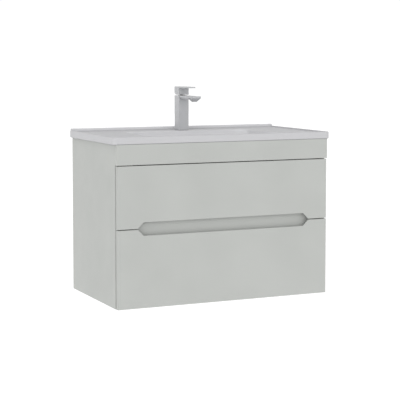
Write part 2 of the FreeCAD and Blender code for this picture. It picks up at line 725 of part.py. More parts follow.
def make_hanger(side, label):
    """A steel housing on the side panel, with a hook over the wall plate."""
    top = HANGER_TOP
    housing = sideways(
        side,
        (f"{INNER} - hanger_width", f"{HANGER_BACK} - hanger_depth", f"{top} - hanger_height"),
        (INNER, HANGER_BACK, top),
    )
    inner = f"{INNER} - hanger_width"
    arm_foot = f"{HANGING_RAIL_TOP} + hook_height + hook_sheet"
    arm_top = f"{arm_foot} + hook_height"
    arm = sideways(
        side,
        (inner, HANGER_BACK, arm_foot),
        (f"{INNER} - 2 * fitting_play", "-hook_sheet", arm_top),
    )
    tongue = sideways(
        side,
        (inner, "-2 * hook_sheet", f"{arm_foot} - hook_bite"),
        (f"{INNER} - 2 * fitting_play", "-hook_sheet", arm_foot),
    )
    holes = [
        rod((signed(side, inner), HANGER_Y, height), outward(side),
            "screw_radius + fitting_play", "hanger_width")
        for height in HANGER_SCREWS
    ]
    node(cut(fused([housing, arm, tongue]), holes), label)


PLATE_SHELF = f"({HANGING_RAIL_TOP} + hook_height + hook_sheet - hook_bite - hook_play)"
PLATE_MIDDLE = f"({INNER} - plate_width / 2)"


def make_wall_plate(side, label):
    """A steel plate on the wall, with a lip that the hanger's hook drops behind."""
    inner = f"{INNER} - plate_width"
    back = sideways(
        side,
        (inner, "-hook_sheet", f"{PLATE_SHELF} - hook_sheet - plate_height"),
        (INNER, "0", PLATE_SHELF),
    )
    lip_front = "-3 * hook_sheet - hook_play"
    shelf = sideways(
        side, (inner, lip_front, f"{PLATE_SHELF} - hook_sheet"), (INNER, "0", PLATE_SHELF)
    )
    lip = sideways(
        side,
        (inner, lip_front, f"{PLATE_SHELF} - hook_sheet"),
        (INNER, "-2 * hook_sheet - hook_play", f"{PLATE_SHELF} + hook_bite - hook_height"),
    )
    holes = [
        rod((signed(side, PLATE_MIDDLE), "-hook_sheet", height), "+y", "plate_hole_radius",
            "hook_sheet")
        for height in (
            f"{PLATE_SHELF} - hook_sheet - plate_hole_inset",
            f"{PLATE_SHELF} - hook_sheet - plate_height + plate_hole_inset",
        )
    ]
    node(cut(fused([back, shelf, lip]), holes), label)


def make_hangers():
    """Both hangers, both wall plates and the hangers' screws."""
    make_hanger(-1, "hanger_left")
    make_hanger(1, "hanger_right")
    make_wall_plate(-1, "wall_plate_left")
    make_wall_plate(1, "wall_plate_right")
    screws = [
        screw((signed(side, f"{INNER} - hanger_width"), HANGER_Y, height), outward(side),
              "hanger_width + screw_bite")
        for side in (-1, 1)
        for height in HANGER_SCREWS
    ]
    group(screws, "hanger_screws")


# ---- runners -----------------------------------------------------------------------------------

def channel(side, web, tips, middle, half, ends, holes=()):
    """A C-shaped runner member: its web at one X, its flange tips at another."""
    low, high = sorted((web, tips), key=value)
    flip = value(web) < value(tips)
    solid = sideways(
        side,
        (low, ends[0], f"{middle} - ({half})"),
        (high, ends[1], f"{middle} + ({half})"),
    )
    room_low = f"{low} + runner_sheet" if flip else low
    room_high = high if flip else f"{high} - runner_sheet"
    room = sideways(
        side,
        (room_low, ends[0], f"{middle} - ({half}) + runner_sheet"),
        (room_high, ends[1], f"{middle} + ({half}) - runner_sheet"),
    )
    return cut(solid, [room, *holes])


def make_runners():
    """The three members of each runner; the left and right ones share a node."""
    ends = (RUNNER_FRONT, "-runner_wall_gap")
    outer_half = "runner_height / 2"
    middle_half = f"{outer_half} - runner_sheet - runner_play"
    inner_half = f"{middle_half} - runner_sheet - runner_play"
    middle_web = f"{INNER} - middle_member_back"
    members = {
        "outer_runners": (INNER, f"{INNER} - middle_member_reach", outer_half),
        "middle_runners": (middle_web, f"{middle_web} - middle_member_reach", middle_half),
        "inner_runners": (BOX_SIDE, f"{BOX_SIDE} + inner_member_reach", inner_half),
    }
    screws = []
    for level, height in RUNNERS.items():
        for name, (web, tips, half) in members.items():
            solids = []
            for side in (-1, 1):
                holes = []
                if name == "outer_runners":
                    inner_face = f"{INNER} - runner_sheet"
                    for across in RUNNER_SCREWS:
                        start = (signed(side, inner_face), across, height)
                        length = "runner_sheet + screw_bite"
                        holes.append(pilot(start, outward(side), length))
                        screws.append(screw(start, outward(side), length))
                if name == "inner_runners":
                    inner_face = f"{BOX_SIDE} + runner_sheet"
                    for across in RUNNER_SCREWS:
                        start = (signed(side, inner_face), across, height)
                        holes.append(pilot(start, outward(-side), "runner_sheet"))
                solids.append(channel(side, web, tips, height, half, ends, holes))
            group(solids, f"{level}_{name}")
    group(screws, "runner_screws")


# ---- drawers -----------------------------------------------------------------------------------

def make_front(label, foot, height, notch_at_top):
    """A drawer front with its half of the finger cut-out and the bevel behind it."""
    front = new_body(label, ("0", FRONT_BACK, foot))
    end = "cabinet_width / 2 - front_inset"
    tip = f"{end} - cutout_inset - groove / 2"
    flat = f"{end} - cutout_inset - cutout_rise"
    rise = "cutout_rise - groove / 2"
    edge, far, notch = ("0", height, rise)
    if notch_at_top:
        edge, far, notch = (height, "0", f"{height} - ({rise})")
    corners = (
        (f"-({end})", edge), (f"-({tip})", edge), (f"-({flat})", notch), (flat, notch),
        (tip, edge), (end, edge), (end, far), (f"-({end})", far),
    )
    profile = sketch_on(front, "XZ_Plane")
    outline(profile, corners)
    pad(front, profile, "front_thickness")
    top = max(value(edge), value(notch))
    bottom = min(value(edge), value(notch))

    def in_notch(box):
        inside = box.XMax < value(tip) + 0.01 and box.XMin > -value(tip) - 0.01
        return inside and box.ZMax < top + 0.01 and box.ZMin > bottom - 0.01

    dress(front, "Chamfer", "front_thickness - cutout_lip",
          lambda box: box.YLength < 0.01 and near(box.YMin, "0") and in_notch(box))
    dress(front, "Fillet", "front_rounding",
          lambda box: box.YLength < 0.01 and near(box.YMin, "-front_thickness"))
    return front


def make_drawer_side(side, label, foot, height, screws):
    """A drawer side with the groove for the bottom and the pilot holes of its screws."""
    panel = sideways(
        side, (INSIDE, FRONT_BACK, foot), (BOX_SIDE, BOX_BACK, f"{foot} + {height}")
    )
    slot = sideways(
        side,
        (INSIDE, FRONT_BACK, f"{foot} + bottom_raise - groove_play"),
        (f"{INSIDE} + bottom_tongue + groove_play", BOX_BACK,
         f"{foot} + bottom_raise + drawer_bottom + groove_play"),
    )
    node(cut(panel, [slot, *screws]), label)


SIDE_SCREW_LENGTH = "drawer_side - screw_cover"


def bracket_screw_points(side, foot):
    """Where a bracket's screws start: two into the front, two into the drawer side."""
    heights = [f"{foot} + bracket_height / 4", f"{foot} + 3 * bracket_height / 4"]
    across = f"{INSIDE} - bracket_leg / 2 - bracket_sheet / 2"
    along = f"{FRONT_BACK} + bracket_leg / 2 + bracket_sheet / 2"
    into_front = [
        ((signed(side, across), f"{FRONT_BACK} + bracket_sheet", height), "-y")
        for height in heights
    ]
    into_side = [
        ((signed(side, f"{INSIDE} - bracket_sheet"), along, height), outward(side))
        for height in heights
    ]
    return into_front, into_side


def make_bracket(side, foot):
    """An angle of sheet steel between a drawer side and its front."""
    top = f"{foot} + bracket_height"
    long_leg = sideways(
        side,
        (f"{INSIDE} - bracket_sheet", FRONT_BACK, foot),
        (INSIDE, f"{FRONT_BACK} + bracket_leg", top),
    )
    short_leg = sideways(
        side,
        (f"{INSIDE} - bracket_leg", FRONT_BACK, foot),
        (INSIDE, f"{FRONT_BACK} + bracket_sheet", top),
    )
    into_front, into_side = bracket_screw_points(side, foot)
    holes = [pilot(point, way, "bracket_sheet") for point, way in into_front + into_side]
    return cut(fused([long_leg, short_leg]), holes)


def front_screw_holes(front, bracket_foot, foot):
    """Pilot holes in the back of a drawer front."""
    holes = sketch_on(front, "XZ_Plane")
    for side in (-1, 1):
        into_front, _ = bracket_screw_points(side, bracket_foot)
        for (across, _, height), _ in into_front:
            circle(holes, (across, f"{height} - {foot}"), "screw_radius + fitting_play")
    pocket(front, holes, "screw_bite + 2 * fitting_play", Reversed=True)


def make_drawer(level, foot, height, front):
    """What both drawers have: sides, brackets and screws, with their holes."""
    front_foot = UPPER_FRONT_FOOT if level == "upper" else "0"
    bracket_foot = f"({foot} + bottom_raise + drawer_bottom + bracket_sheet)"
    front_screw_holes(front, bracket_foot, front_foot)
    screws = []
    brackets = []
    for side, name in ((-1, "left"), (1, "right")):
        into_front, into_side = bracket_screw_points(side, bracket_foot)
        holes = []
        for point, way in into_side:
            length = f"bracket_sheet + {SIDE_SCREW_LENGTH}"
            screws.append(screw(point, way, length))
            holes.append(pilot(point, way, length))
        for point, way in into_front:
            screws.append(screw(point, way, "bracket_sheet + screw_bite"))
        for across in RUNNER_SCREWS:
            start = (signed(side, f"{BOX_SIDE} + runner_sheet"), across, RUNNERS[level])
            length = f"runner_sheet + {SIDE_SCREW_LENGTH}"
            screws.append(screw(start, outward(-side), length))
            holes.append(pilot(start, outward(-side), length))
        make_drawer_side(side, f"{level}_side_{name}", foot, height, holes)
        brackets.append(make_bracket(side, bracket_foot))
    group(brackets, f"{level}_front_brackets")
    group(screws, f"{level}_drawer_screws")


def bottom_blank(foot):
    """A drawer bottom with its long edges in the grooves of the sides."""
    reach = f"{INSIDE} + bottom_tongue"
    return block(
        (f"-({reach})", FRONT_BACK, f"{foot} + bottom_raise"),
        (reach, BOX_BACK, f"{foot} + bottom_raise + drawer_bottom"),
    )


def make_lower_drawer():
    """The lower drawer: a plain box."""
    front = make_front("lower_front", "0", LOWER_FRONT_HEIGHT, True)
    make_drawer("lower", LOWER_BOX, LOWER_BOX_HEIGHT, front)
    node(bottom_blank(LOWER_BOX), "lower_bottom")
    back = block(
        (f"-{INSIDE}", f"{BOX_BACK} - drawer_side", f"{LOWER_BOX} + bottom_raise + drawer_bottom"),
        (INSIDE, BOX_BACK, f"{LOWER_BOX} + {LOWER_BOX_HEIGHT}"),
    )
    node(back, "lower_back")


def make_upper_drawer():
    """The upper drawer: its bottom and back are cut out round the trap."""
    front = make_front("upper_front", UPPER_FRONT_FOOT, "upper_front_height", False)
    make_drawer("upper", UPPER_BOX, UPPER_BOX_HEIGHT, front)
    half = "trap_width / 2"
    cut_front = f"({BOWL_MIDDLE} - trap_front)"
    floor = f"({UPPER_BOX} + bottom_raise + drawer_bottom)"
    top = f"({UPPER_BOX} + {UPPER_BOX_HEIGHT})"
    opening = block(
        (f"-{half}", cut_front, f"{UPPER_BOX} + bottom_raise"),
        (half, BOX_BACK, floor),
    )
    node(cut(bottom_blank(UPPER_BOX), [opening]), "upper_bottom")
    for side, name in ((-1, "left"), (1, "right")):
        node(
            sideways(side, (f"{half} + drawer_side", f"{BOX_BACK} - drawer_side", floor),
                     (INSIDE, BOX_BACK, top)),
            f"upper_back_{name}",
        )
        node(
            sideways(side, (half, cut_front, floor), (f"{half} + drawer_side", BOX_BACK, top)),
            f"trap_board_{name}",
        )
    node(
        block((f"-({half} + drawer_side)", f"{cut_front} - drawer_side", floor),
              (f"{half} + drawer_side", cut_front, top)),
        "trap_board_front",
    )


# ---- basin and waste ---------------------------------------------------------------------------

def make_basin():
    """The ceramic basin: slab, rim, deck, raised strip at the wall, bowl and holes."""
    basin = new_body("basin", ("0", "0", "cabinet_height"))
    half = "(cabinet_width / 2 + basin_overhang)"
    bowl_half = "(bowl_length / 2)"
    bowl_back = "(-bowl_setback)"

    slab = sketch_on(basin, "XY_Plane")
    rounded(slab, f"-{half}", half, f"-{BASIN_DEPTH}", "0", "basin_corner")
    pad(basin, slab, "basin_rim")
    recess = sketch_on(basin, "XY_Plane", "basin_rim")
    rounded(recess, f"-{half} + rim_width", f"{half} - rim_width", f"-{BASIN_DEPTH} + rim_width",
            "-upstand_depth", "deck_corner")
    pocket(basin, recess, "deck_recess")
    upstand = sketch_on(basin, "XY_Plane", "basin_rim - deck_recess")
    rounded(upstand, f"-{half} + upstand_inset", f"{half} - upstand_inset", "-upstand_depth", "0",
            "upstand_corner")
    pad(basin, upstand, "deck_recess + upstand_rise")
    hollow = sketch_on(basin, "XY_Plane")
    rounded(hollow, f"-{half} + foot_side", f"{half} - foot_side", f"-{BASIN_DEPTH} + foot_front",
            "-foot_back", "deck_corner")
    pocket(basin, hollow, "hollow", Reversed=True)

    shell = sketch_on(basin, "XY_Plane", "hollow")
    rounded(shell, f"-{bowl_half} - ceramic", f"{bowl_half} + ceramic", f"{BOWL_FRONT} - ceramic",
            f"{bowl_back} + ceramic", "bowl_corner + ceramic")
    pad(basin, shell, f"bowl_depth + ceramic - ({DECK} - hollow)", Reversed=True,
        taper="-bowl_slope")
    dress(basin, "Fillet", "bowl_floor_rounding + ceramic",
          level_at(f"{DECK} - bowl_depth - ceramic"))
    bowl = sketch_on(basin, "XY_Plane", DECK)
    rounded(bowl, f"-{bowl_half}", bowl_half, BOWL_FRONT, bowl_back, "bowl_corner")
    pocket(basin, bowl, "bowl_depth", taper="-bowl_slope")
    dress(basin, "Fillet", "bowl_floor_rounding", level_at(f"{DECK} - bowl_depth"))
    mouth_low = value(BOWL_FRONT) - 0.1
    mouth_high = value(bowl_back) + 0.1
    mouth_side = value(bowl_half) + 0.1
    dress(basin, "Fillet", "bowl_lip",
          lambda box: level_at(DECK)(box) and box.YMin > mouth_low and box.YMax < mouth_high
          and abs(box.XMax) < mouth_side and abs(box.XMin) < mouth_side)

    holes = sketch_on(basin, "XY_Plane", DECK)
    circle(holes, ("0", "-tap_setback"), "tap_hole")
    pocket(basin, holes, "basin_rim")
    waste = sketch_on(basin, "XY_Plane", f"{DECK} - bowl_depth")
    circle(waste, ("0", BOWL_MIDDLE), WASTE_HOLE)
    pocket(basin, waste, "2 * ceramic")
    seat = sketch_on(basin, "XY_Plane", f"{DECK} - bowl_depth")
    circle(seat, ("0", BOWL_MIDDLE), f"{WASTE_FLANGE} + waste_seat_play")
    pocket(basin, seat, "waste_flange_height")

    crest = value("basin_rim + upstand_rise")
    side = value(half) - 0.01
    front = 0.01 - value(BASIN_DEPTH)
    dress(basin, "Fillet", "basin_rounding",
          lambda box: box.ZLength < 0.01 and abs(box.ZMin) < 0.01 and box.YMax < -0.01
          and (box.XMax > side or box.XMin < -side or box.YMin < front))
    dress(basin, "Fillet", "upstand_rounding",
          lambda box: box.ZLength < 0.01 and abs(box.ZMin - crest) < 0.01)
    rim = value("basin_rim")
    dress(basin, "Fillet", "rim_rounding",
          lambda box: box.ZLength < 0.01 and abs(box.ZMin - rim) < 0.01
          and (box.XMax > side or box.XMin < -side or box.YMin < front))


def make_waste():
    """The pop-up waste under the bowl and its plug."""
    axis = ("0", BOWL_MIDDLE, f"{BOWL_FLOOR} - waste_flange_height")
    thread_top = "(waste_free_thread - waste_length)"
    body = new_body("waste_body", axis)
    section = sketch_on(body, "XZ_Plane")
    outline(section, (
        (WASTE_BORE, "-waste_length"), ("waste_tail", "-waste_length"),
        ("waste_tail", thread_top), ("waste_tail - waste_relief", thread_top),
        ("waste_tail - waste_relief", f"{thread_top} + waste_relief"),
        ("waste_tail", f"{thread_top} + waste_relief"), ("waste_tail", "0"),
        (WASTE_FLANGE, "0"), (WASTE_FLANGE, "waste_flange_height"),
        (WASTE_BORE, "waste_flange_height"),
    ))
    revolve(body, section)

    seal_top = f"({BOWL_UNDER} - 2 * fitting_play)"
    seal_foot = f"({seal_top} - waste_seal_height)"
    ring = rod(("0", BOWL_MIDDLE, seal_foot), "+z", f"{WASTE_HOLE} + waste_seal_lap",
               "waste_seal_height")
    bore = rod(("0", BOWL_MIDDLE, seal_foot), "+z", "waste_tail + 3 * fitting_play",
               "waste_seal_height")
    node(cut(ring, [bore]), "waste_seal")

    nut_foot = f"({seal_foot} - waste_nut_height)"
    nut = doc.addObject("Part::Prism", "nut")
    nut.Polygon = 6
    nut.setExpression("Circumradius", linked("waste_tail + waste_nut_wall"))
    nut.setExpression("Height", linked("waste_nut_height"))
    place(nut, ("0", BOWL_MIDDLE, nut_foot))
    hole = rod(("0", BOWL_MIDDLE, nut_foot), "+z", "waste_tail + fitting_play", "waste_nut_height")
    node(cut(nut, [hole]), "waste_nut")

    guide_foot = f"({BOWL_FLOOR} - guide_drop)"
    guide_top = f"({guide_foot} + guide_height)"
    centre = ("0", BOWL_MIDDLE, guide_foot)
    hub = rod(centre, "+z", "plug_stem + guide_wall", "guide_height")
    reach = f"({WASTE_BORE} - fitting_play)"
    bars = [
        block((f"-{reach}", f"{BOWL_MIDDLE} - guide_wall / 2", guide_foot),
              (reach, f"{BOWL_MIDDLE} + guide_wall / 2", guide_top)),
        block(("-guide_wall / 2", f"{BOWL_MIDDLE} - {reach}", guide_foot),
              ("guide_wall / 2", f"{BOWL_MIDDLE} + {reach}", guide_top)),
    ]
    slide = rod(centre, "+z", "plug_stem + fitting_play", "guide_height")
    node(cut(fused([hub, *bars]), [slide]), "waste_guide")

    plug = new_body("waste_plug", ("0", BOWL_MIDDLE, f"{BOWL_FLOOR} + plug_gap"))
    shape = sketch_on(plug, "XZ_Plane")
    outline(shape, (
        ("0", "-plug_stem_length"), ("plug_stem", "-plug_stem_length"),
        ("plug_stem", "0"), (PLUG_RADIUS, "0"), (PLUG_RADIUS, "plug_edge"),
        (f"{PLUG_RADIUS} - plug_edge", "(plug_edge + 3 * plug_height) / 4"), ("0", "plug_height"),
    ))
    revolve(plug, shape)


# ---- tap ---------------------------------------------------------------------------------------

TAP_AXIS = ("0", "-tap_setback")


def make_tap_body():
    """The square column with its spout, cartridge bore, water way and inlets."""
    tap = new_body("tap_body", (*TAP_AXIS, TAP_FOOT))
    half = "(column / 2)"
    base = sketch_on(tap, "XY_Plane")
    rectangle(base, f"-{half}", half, f"-{half}", half)
    pad(tap, base, "column_height")
    dress(tap, "Fillet", "column_rounding", upright)

    top = "column_height"
    plate_foot = f"({top} - spout_plate)"
    spout = sketch_on(tap, "XY_Plane", plate_foot)
    rectangle(spout, "-spout_width / 2", "spout_width / 2", "-spout_reach", "0")
    pad(tap, spout, "spout_plate")
    duct = sketch_on(tap, "XY_Plane", f"{top} - duct_drop")
    rectangle(duct, "-duct_width / 2", "duct_width / 2", "-nozzle_reach", "0")
    pad(tap, duct, "duct_drop - spout_plate / 2")
    mouth = f"({top} - nozzle_drop + aerator_stand)"
    throat = sketch_on(tap, "XY_Plane", plate_foot)
    rounded(throat, "-spout_width / 2", "spout_width / 2", "-spout_reach", "-nozzle_back",
            "nozzle_corner")
    foot = sketch_on(tap, "XY_Plane", mouth)
    rounded(foot, "-nozzle_half", "nozzle_half", "-nozzle_reach - nozzle_half",
            "-nozzle_reach + nozzle_half", "nozzle_half - nozzle_corner / 5")
    loft(tap, throat, foot)

    bore = sketch_on(tap, "XY_Plane", top)
    circle(bore, ("0", "0"), "cartridge_radius + fitting_play")
    pocket(tap, bore, "cartridge_height + ring_height - ring_stand")
    nozzle = sketch_on(tap, "XY_Plane", mouth)
    circle(nozzle, ("0", "-nozzle_reach"), "aerator_radius + fitting_play")
    pocket(tap, nozzle, "aerator_height - aerator_stand", Reversed=True)
    way = sketch_on(tap, "XZ_Plane")
    circle(way, ("0", f"{top} - nozzle_drop + aerator_height + water_way"), "water_way")
    pocket(tap, way, "nozzle_reach", Reversed=True)
    inlets = sketch_on(tap, "XY_Plane")
    circle(inlets, ("-inlet_spread", "-inlet_front"), "inlet_radius")
    circle(inlets, ("inlet_spread", "-inlet_front"), "inlet_radius")
    pocket(tap, inlets, "inlet_depth", Reversed=True)
    ways = sketch_on(tap, "XY_Plane")
    circle(ways, ("-inlet_spread", "-inlet_front"), "inlet_radius - 1")
    circle(ways, ("inlet_spread", "-inlet_front"), "inlet_radius - 1")
    pocket(tap, ways, f"{top} - cartridge_height - ring_height + ring_stand", Reversed=True)
    stud = sketch_on(tap, "XY_Plane")
    circle(stud, ("0", "stud_setback"), "stud_radius + fitting_play")
    pocket(tap, stud, "inlet_depth", Reversed=True)


def make_tap_fixings():
    """Gasket, stud, clamp plate and nut that hold the tap to the basin."""
    axis_x, axis_y = TAP_AXIS
    half = "(column / 2 - gasket_inset)"
    foot = f"({TAP_FOOT} - gasket)"
    pad_block = block((f"-{half}", f"{axis_y} - {half}", foot), (half, f"{axis_y} + {half}", TAP_FOOT))
    opening = rod((axis_x, axis_y, foot), "+z", "tap_hole - gasket_lip", "gasket")
    node(cut(pad_block, [opening]), "tap_gasket")

    stud_y = f"({axis_y} + stud_setback)"
    stud_top = f"({TAP_FOOT} + inlet_depth - fitting_play)"
    stud = rod(("0", stud_y, f"{stud_top} - stud_length"), "+z", "stud_radius", "stud_length")
    node(stud, "tap_stud")

    under = "(cabinet_height + hollow)"
    plate_foot = f"({under} - clamp_plate)"
    plate = rod((axis_x, axis_y, plate_foot), "+z", "tap_hole + clamp_rest", "clamp_plate")
    mouth = block(("-tap_hole + clamp_rest", f"{axis_y} - tap_hole - 2 * clamp_rest", plate_foot),
                  ("tap_hole - clamp_rest", f"{stud_y} - stud_radius - clamp_rest / 3", under))
    hole = rod(("0", stud_y, plate_foot), "+z", "stud_radius + fitting_play", "clamp_plate")
    node(cut(plate, [mouth, hole]), "tap_clamp_plate")

    nut = doc.addObject("Part::Prism", "nut")
    nut.Polygon = 6
    nut.setExpression("Circumradius", linked("stud_radius + tap_nut_wall"))
    nut.setExpression("Height", linked("tap_nut_height"))
    place(nut, ("0", stud_y, f"{plate_foot} - tap_nut_height"))
    bore = rod(("0", stud_y, f"{plate_foot} - tap_nut_height"), "+z", "stud_radius + fitting_play",
               "tap_nut_height")
    node(cut(nut, [bore]), "tap_nut")


def make_tap_inside():
    """Cartridge, its ring and the aerator."""
    axis_x, axis_y = TAP_AXIS
    cartridge_top = f"({COLUMN_TOP} - ring_height + ring_stand)"
    cartridge = rod((axis_x, axis_y, f"{cartridge_top} - cartridge_height"), "+z",
                    "cartridge_radius", "cartridge_height")
    socket = rod((axis_x, axis_y, f"{cartridge_top} - socket_depth"), "+z",
                 "stem_radius + stem_play", "socket_depth")
    node(cut(cartridge, [socket]), "tap_cartridge")

    ring = rod((axis_x, axis_y, cartridge_top), "+z", "cartridge_radius - fitting_play", "ring_height")
    opening = rod((axis_x, axis_y, cartridge_top), "+z", "stem_radius + stem_play", "ring_height")
    node(cut(ring, [opening]), "cartridge_ring")

    nozzle_y = f"({axis_y} - nozzle_reach)"
    mouth = f"({COLUMN_TOP} - nozzle_drop)"
    housing = rod(("0", nozzle_y, mouth), "+z", "aerator_radius", "aerator_height")
    room = rod(("0", nozzle_y, mouth), "+z", "aerator_radius - aerator_wall", "aerator_height")
    node(cut(housing, [room]), "aerator_housing")

    insert = rod(("0", nozzle_y, f"{mouth} + slot_width"), "+z",
                 "aerator_radius - aerator_wall - fitting_play", "aerator_height - slot_width")
    slots = []
    for step in (-2, -1, 0, 1, 2):
        middle = f"{nozzle_y} + {step} * slot_pitch"
        slots.append(block(
            ("-aerator_radius", f"{middle} - slot_width / 2", mouth),
            ("aerator_radius", f"{middle} + slot_width / 2", f"{mouth} + 3 * slot_width"),
        ))
    node(cut(insert, slots), "aerator_insert")


def make_lever():
    """The spindle that swivels with the lever, its pin, and the lever's handle."""
    axis_x, axis_y = TAP_AXIS
    pin_y = f"({axis_y} + pivot_setback)"
    pin_z = f"({LEVER_FOOT} + pivot_rise)"
    half = "(spindle_width / 2)"
    lug_foot = f"({COLUMN_TOP} + lever_gap - lug_skirt)"
    stem_foot = f"({COLUMN_TOP} - ring_height + ring_stand - socket_depth + stem_play)"
    stem = rod((axis_x, axis_y, stem_foot), "+z", "stem_radius", f"{lug_foot} - {stem_foot}")
    lug = block(
        (f"-{half}", f"{axis_y} - lug_margin", lug_foot),
        (half, f"{pin_y} + lug_margin", f"{pin_z} + lug_margin"),
    )
    reach = "(column / 2 - lever_wall / 2)"
    pin = rod((f"-{reach}", pin_y, pin_z), "+x", "pivot_radius", f"2 * {reach}")
    node(fused([stem, lug, pin]), "lever_spindle")

    lever = new_body("lever_handle", (*TAP_AXIS, LEVER_FOOT))
    width = "(column / 2)"
    plate_foot = "lever_block"
    plate_top = "(lever_block + lever_plate)"
    profile = sketch_on(lever, "YZ_Plane")
    outline(profile, (
        (f"-{width}", "front_bevel"), (f"-{width} + front_bevel", "0"),
        (f"{width} - lever_bevel_run", "0"),
        (width, "lever_bevel_rise"), (width, plate_top), ("-lever_reach", plate_top),
        ("-lever_reach", f"{plate_foot} + plate_rise"), (f"-{width}", plate_foot),
    ))
    pad(lever, profile, "column", Midplane=True)
    room = sketch_on(lever, "XY_Plane")
    rectangle(room, f"-{width} + lever_wall", f"{width} - lever_wall",
              f"-{width} + lever_wall", f"{width} - lever_bevel_run")
    pocket(lever, room, "lever_hollow", Reversed=True)
    holes = sketch_on(lever, "YZ_Plane")
    circle(holes, ("pivot_setback", "pivot_rise"), "pivot_radius + pivot_play")
    pocket(lever, holes, f"2 * ({reach} + fitting_play)", Midplane=True)
    dress(lever, "Fillet", "lever_rounding", level_at(plate_top))


def check_document():
    """Stop at any object that failed, and at any sub-part without a valid shape."""
    for item in doc.Objects:
        if "Invalid" in item.State or "Error" in item.State:
            raise RuntimeError(f"{item.Label} ({item.Name}) failed: {item.State}")
    for piece in NODES:
        if piece.Shape.isNull() or not piece.Shape.isValid():
            raise RuntimeError(f"{piece.Label} has no valid shape")


make_carcass()
make_fascia()
make_fittings()
make_hangers()
make_runners()
make_upper_drawer()
make_lower_drawer()
make_basin()
make_waste()
make_tap_body()
make_tap_fixings()
make_tap_inside()
make_lever()
doc.recompute()
check_document()
os.makedirs("parts", exist_ok=True)
for piece in NODES:
    piece.Shape.exportStep(f"parts/{piece.Label}.step")
print(f"{len(NODES)} sub-parts written")
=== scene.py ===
"""Looks of a wall-hung vanity: a lacquered cabinet with two drawers, a glazed basin and a mixer tap.

Everything is in metres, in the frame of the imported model: +X right, +Y into the wall, +Z up.
"""
import json
import logging
import math
from dataclasses import dataclass
from enum import Enum

import bmesh
import bpy
from mathutils import Matrix, Vector


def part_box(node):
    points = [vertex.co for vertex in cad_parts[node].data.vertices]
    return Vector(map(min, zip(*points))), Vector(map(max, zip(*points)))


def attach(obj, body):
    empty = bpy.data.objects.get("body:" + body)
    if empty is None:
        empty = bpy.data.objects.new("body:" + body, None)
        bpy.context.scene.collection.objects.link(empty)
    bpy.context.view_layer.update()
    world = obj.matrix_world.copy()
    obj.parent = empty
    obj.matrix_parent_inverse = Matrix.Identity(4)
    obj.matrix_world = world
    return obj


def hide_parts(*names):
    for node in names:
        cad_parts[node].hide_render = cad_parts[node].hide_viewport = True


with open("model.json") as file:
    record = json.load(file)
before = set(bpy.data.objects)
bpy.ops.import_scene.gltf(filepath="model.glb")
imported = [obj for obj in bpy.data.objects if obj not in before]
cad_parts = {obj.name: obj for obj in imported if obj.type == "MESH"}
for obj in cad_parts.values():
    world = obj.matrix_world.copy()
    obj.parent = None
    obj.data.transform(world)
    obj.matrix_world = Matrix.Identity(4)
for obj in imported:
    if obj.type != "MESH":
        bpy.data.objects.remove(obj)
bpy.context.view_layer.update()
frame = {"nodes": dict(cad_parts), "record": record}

LOG = logging.getLogger("vanity")

Point = tuple[float, float]
Triple = tuple[float, float, float]
Loop = list[bmesh.types.BMVert]

EVEN = (1.0, 1.0, 1.0)      # a pattern that is as wide as it is long
NOISE_LOW = 0.3             # nearly all of a noise's values lie between these two
NOISE_HIGH = 0.7
MIX_FIRST = 6               # a Mix node's two colours and its result
MIX_SECOND = 7
MIX_RESULT = 2
TOUCHING_MM = 0.01          # points nearer than this are at one place
POINT_DIGITS = 5            # the same as decimals of a metre


def metres(millimetres: float) -> float:
    """Millimetres as metres."""
    return millimetres / 1000


def per_metre(millimetres: float) -> float:
    """The scale that makes a pattern repeat once in so many millimetres."""
    return 1000 / millimetres


def linear(code: str) -> tuple[float, float, float, float]:
    """An sRGB hex value as linear light.

    Args:
        code: Six hex digits after a hash.

    Returns:
        Red, green, blue and a full alpha.
    """
    shares = [int(code[at:at + 2], 16) / 255 for at in (1, 3, 5)]
    light = [s / 12.92 if s <= 0.04045 else ((s + 0.055) / 1.055) ** 2.4 for s in shares]
    return (*light, 1.0)


def add(tree: bpy.types.NodeTree, kind: str, settings: dict | None = None,
        links: dict | None = None) -> bpy.types.Node:
    """A node with its settings and links.

    Args:
        tree: The tree that gets the node.
        kind: The node's type, without the ShaderNode in front.
        settings: Attributes by name, or values of inputs by name or number.
        links: Sockets that feed the inputs, by name or number.

    Returns:
        The new node.
    """
    node = tree.nodes.new("ShaderNode" + kind)
    for name, value in (settings or {}).items():
        if isinstance(name, str) and hasattr(node, name):
            setattr(node, name, value)
        else:
            node.inputs[name].default_value = value
    for name, socket in (links or {}).items():
        tree.links.new(socket, node.inputs[name])
    return node


# ---- finishes ----------------------------------------------------------------------------------

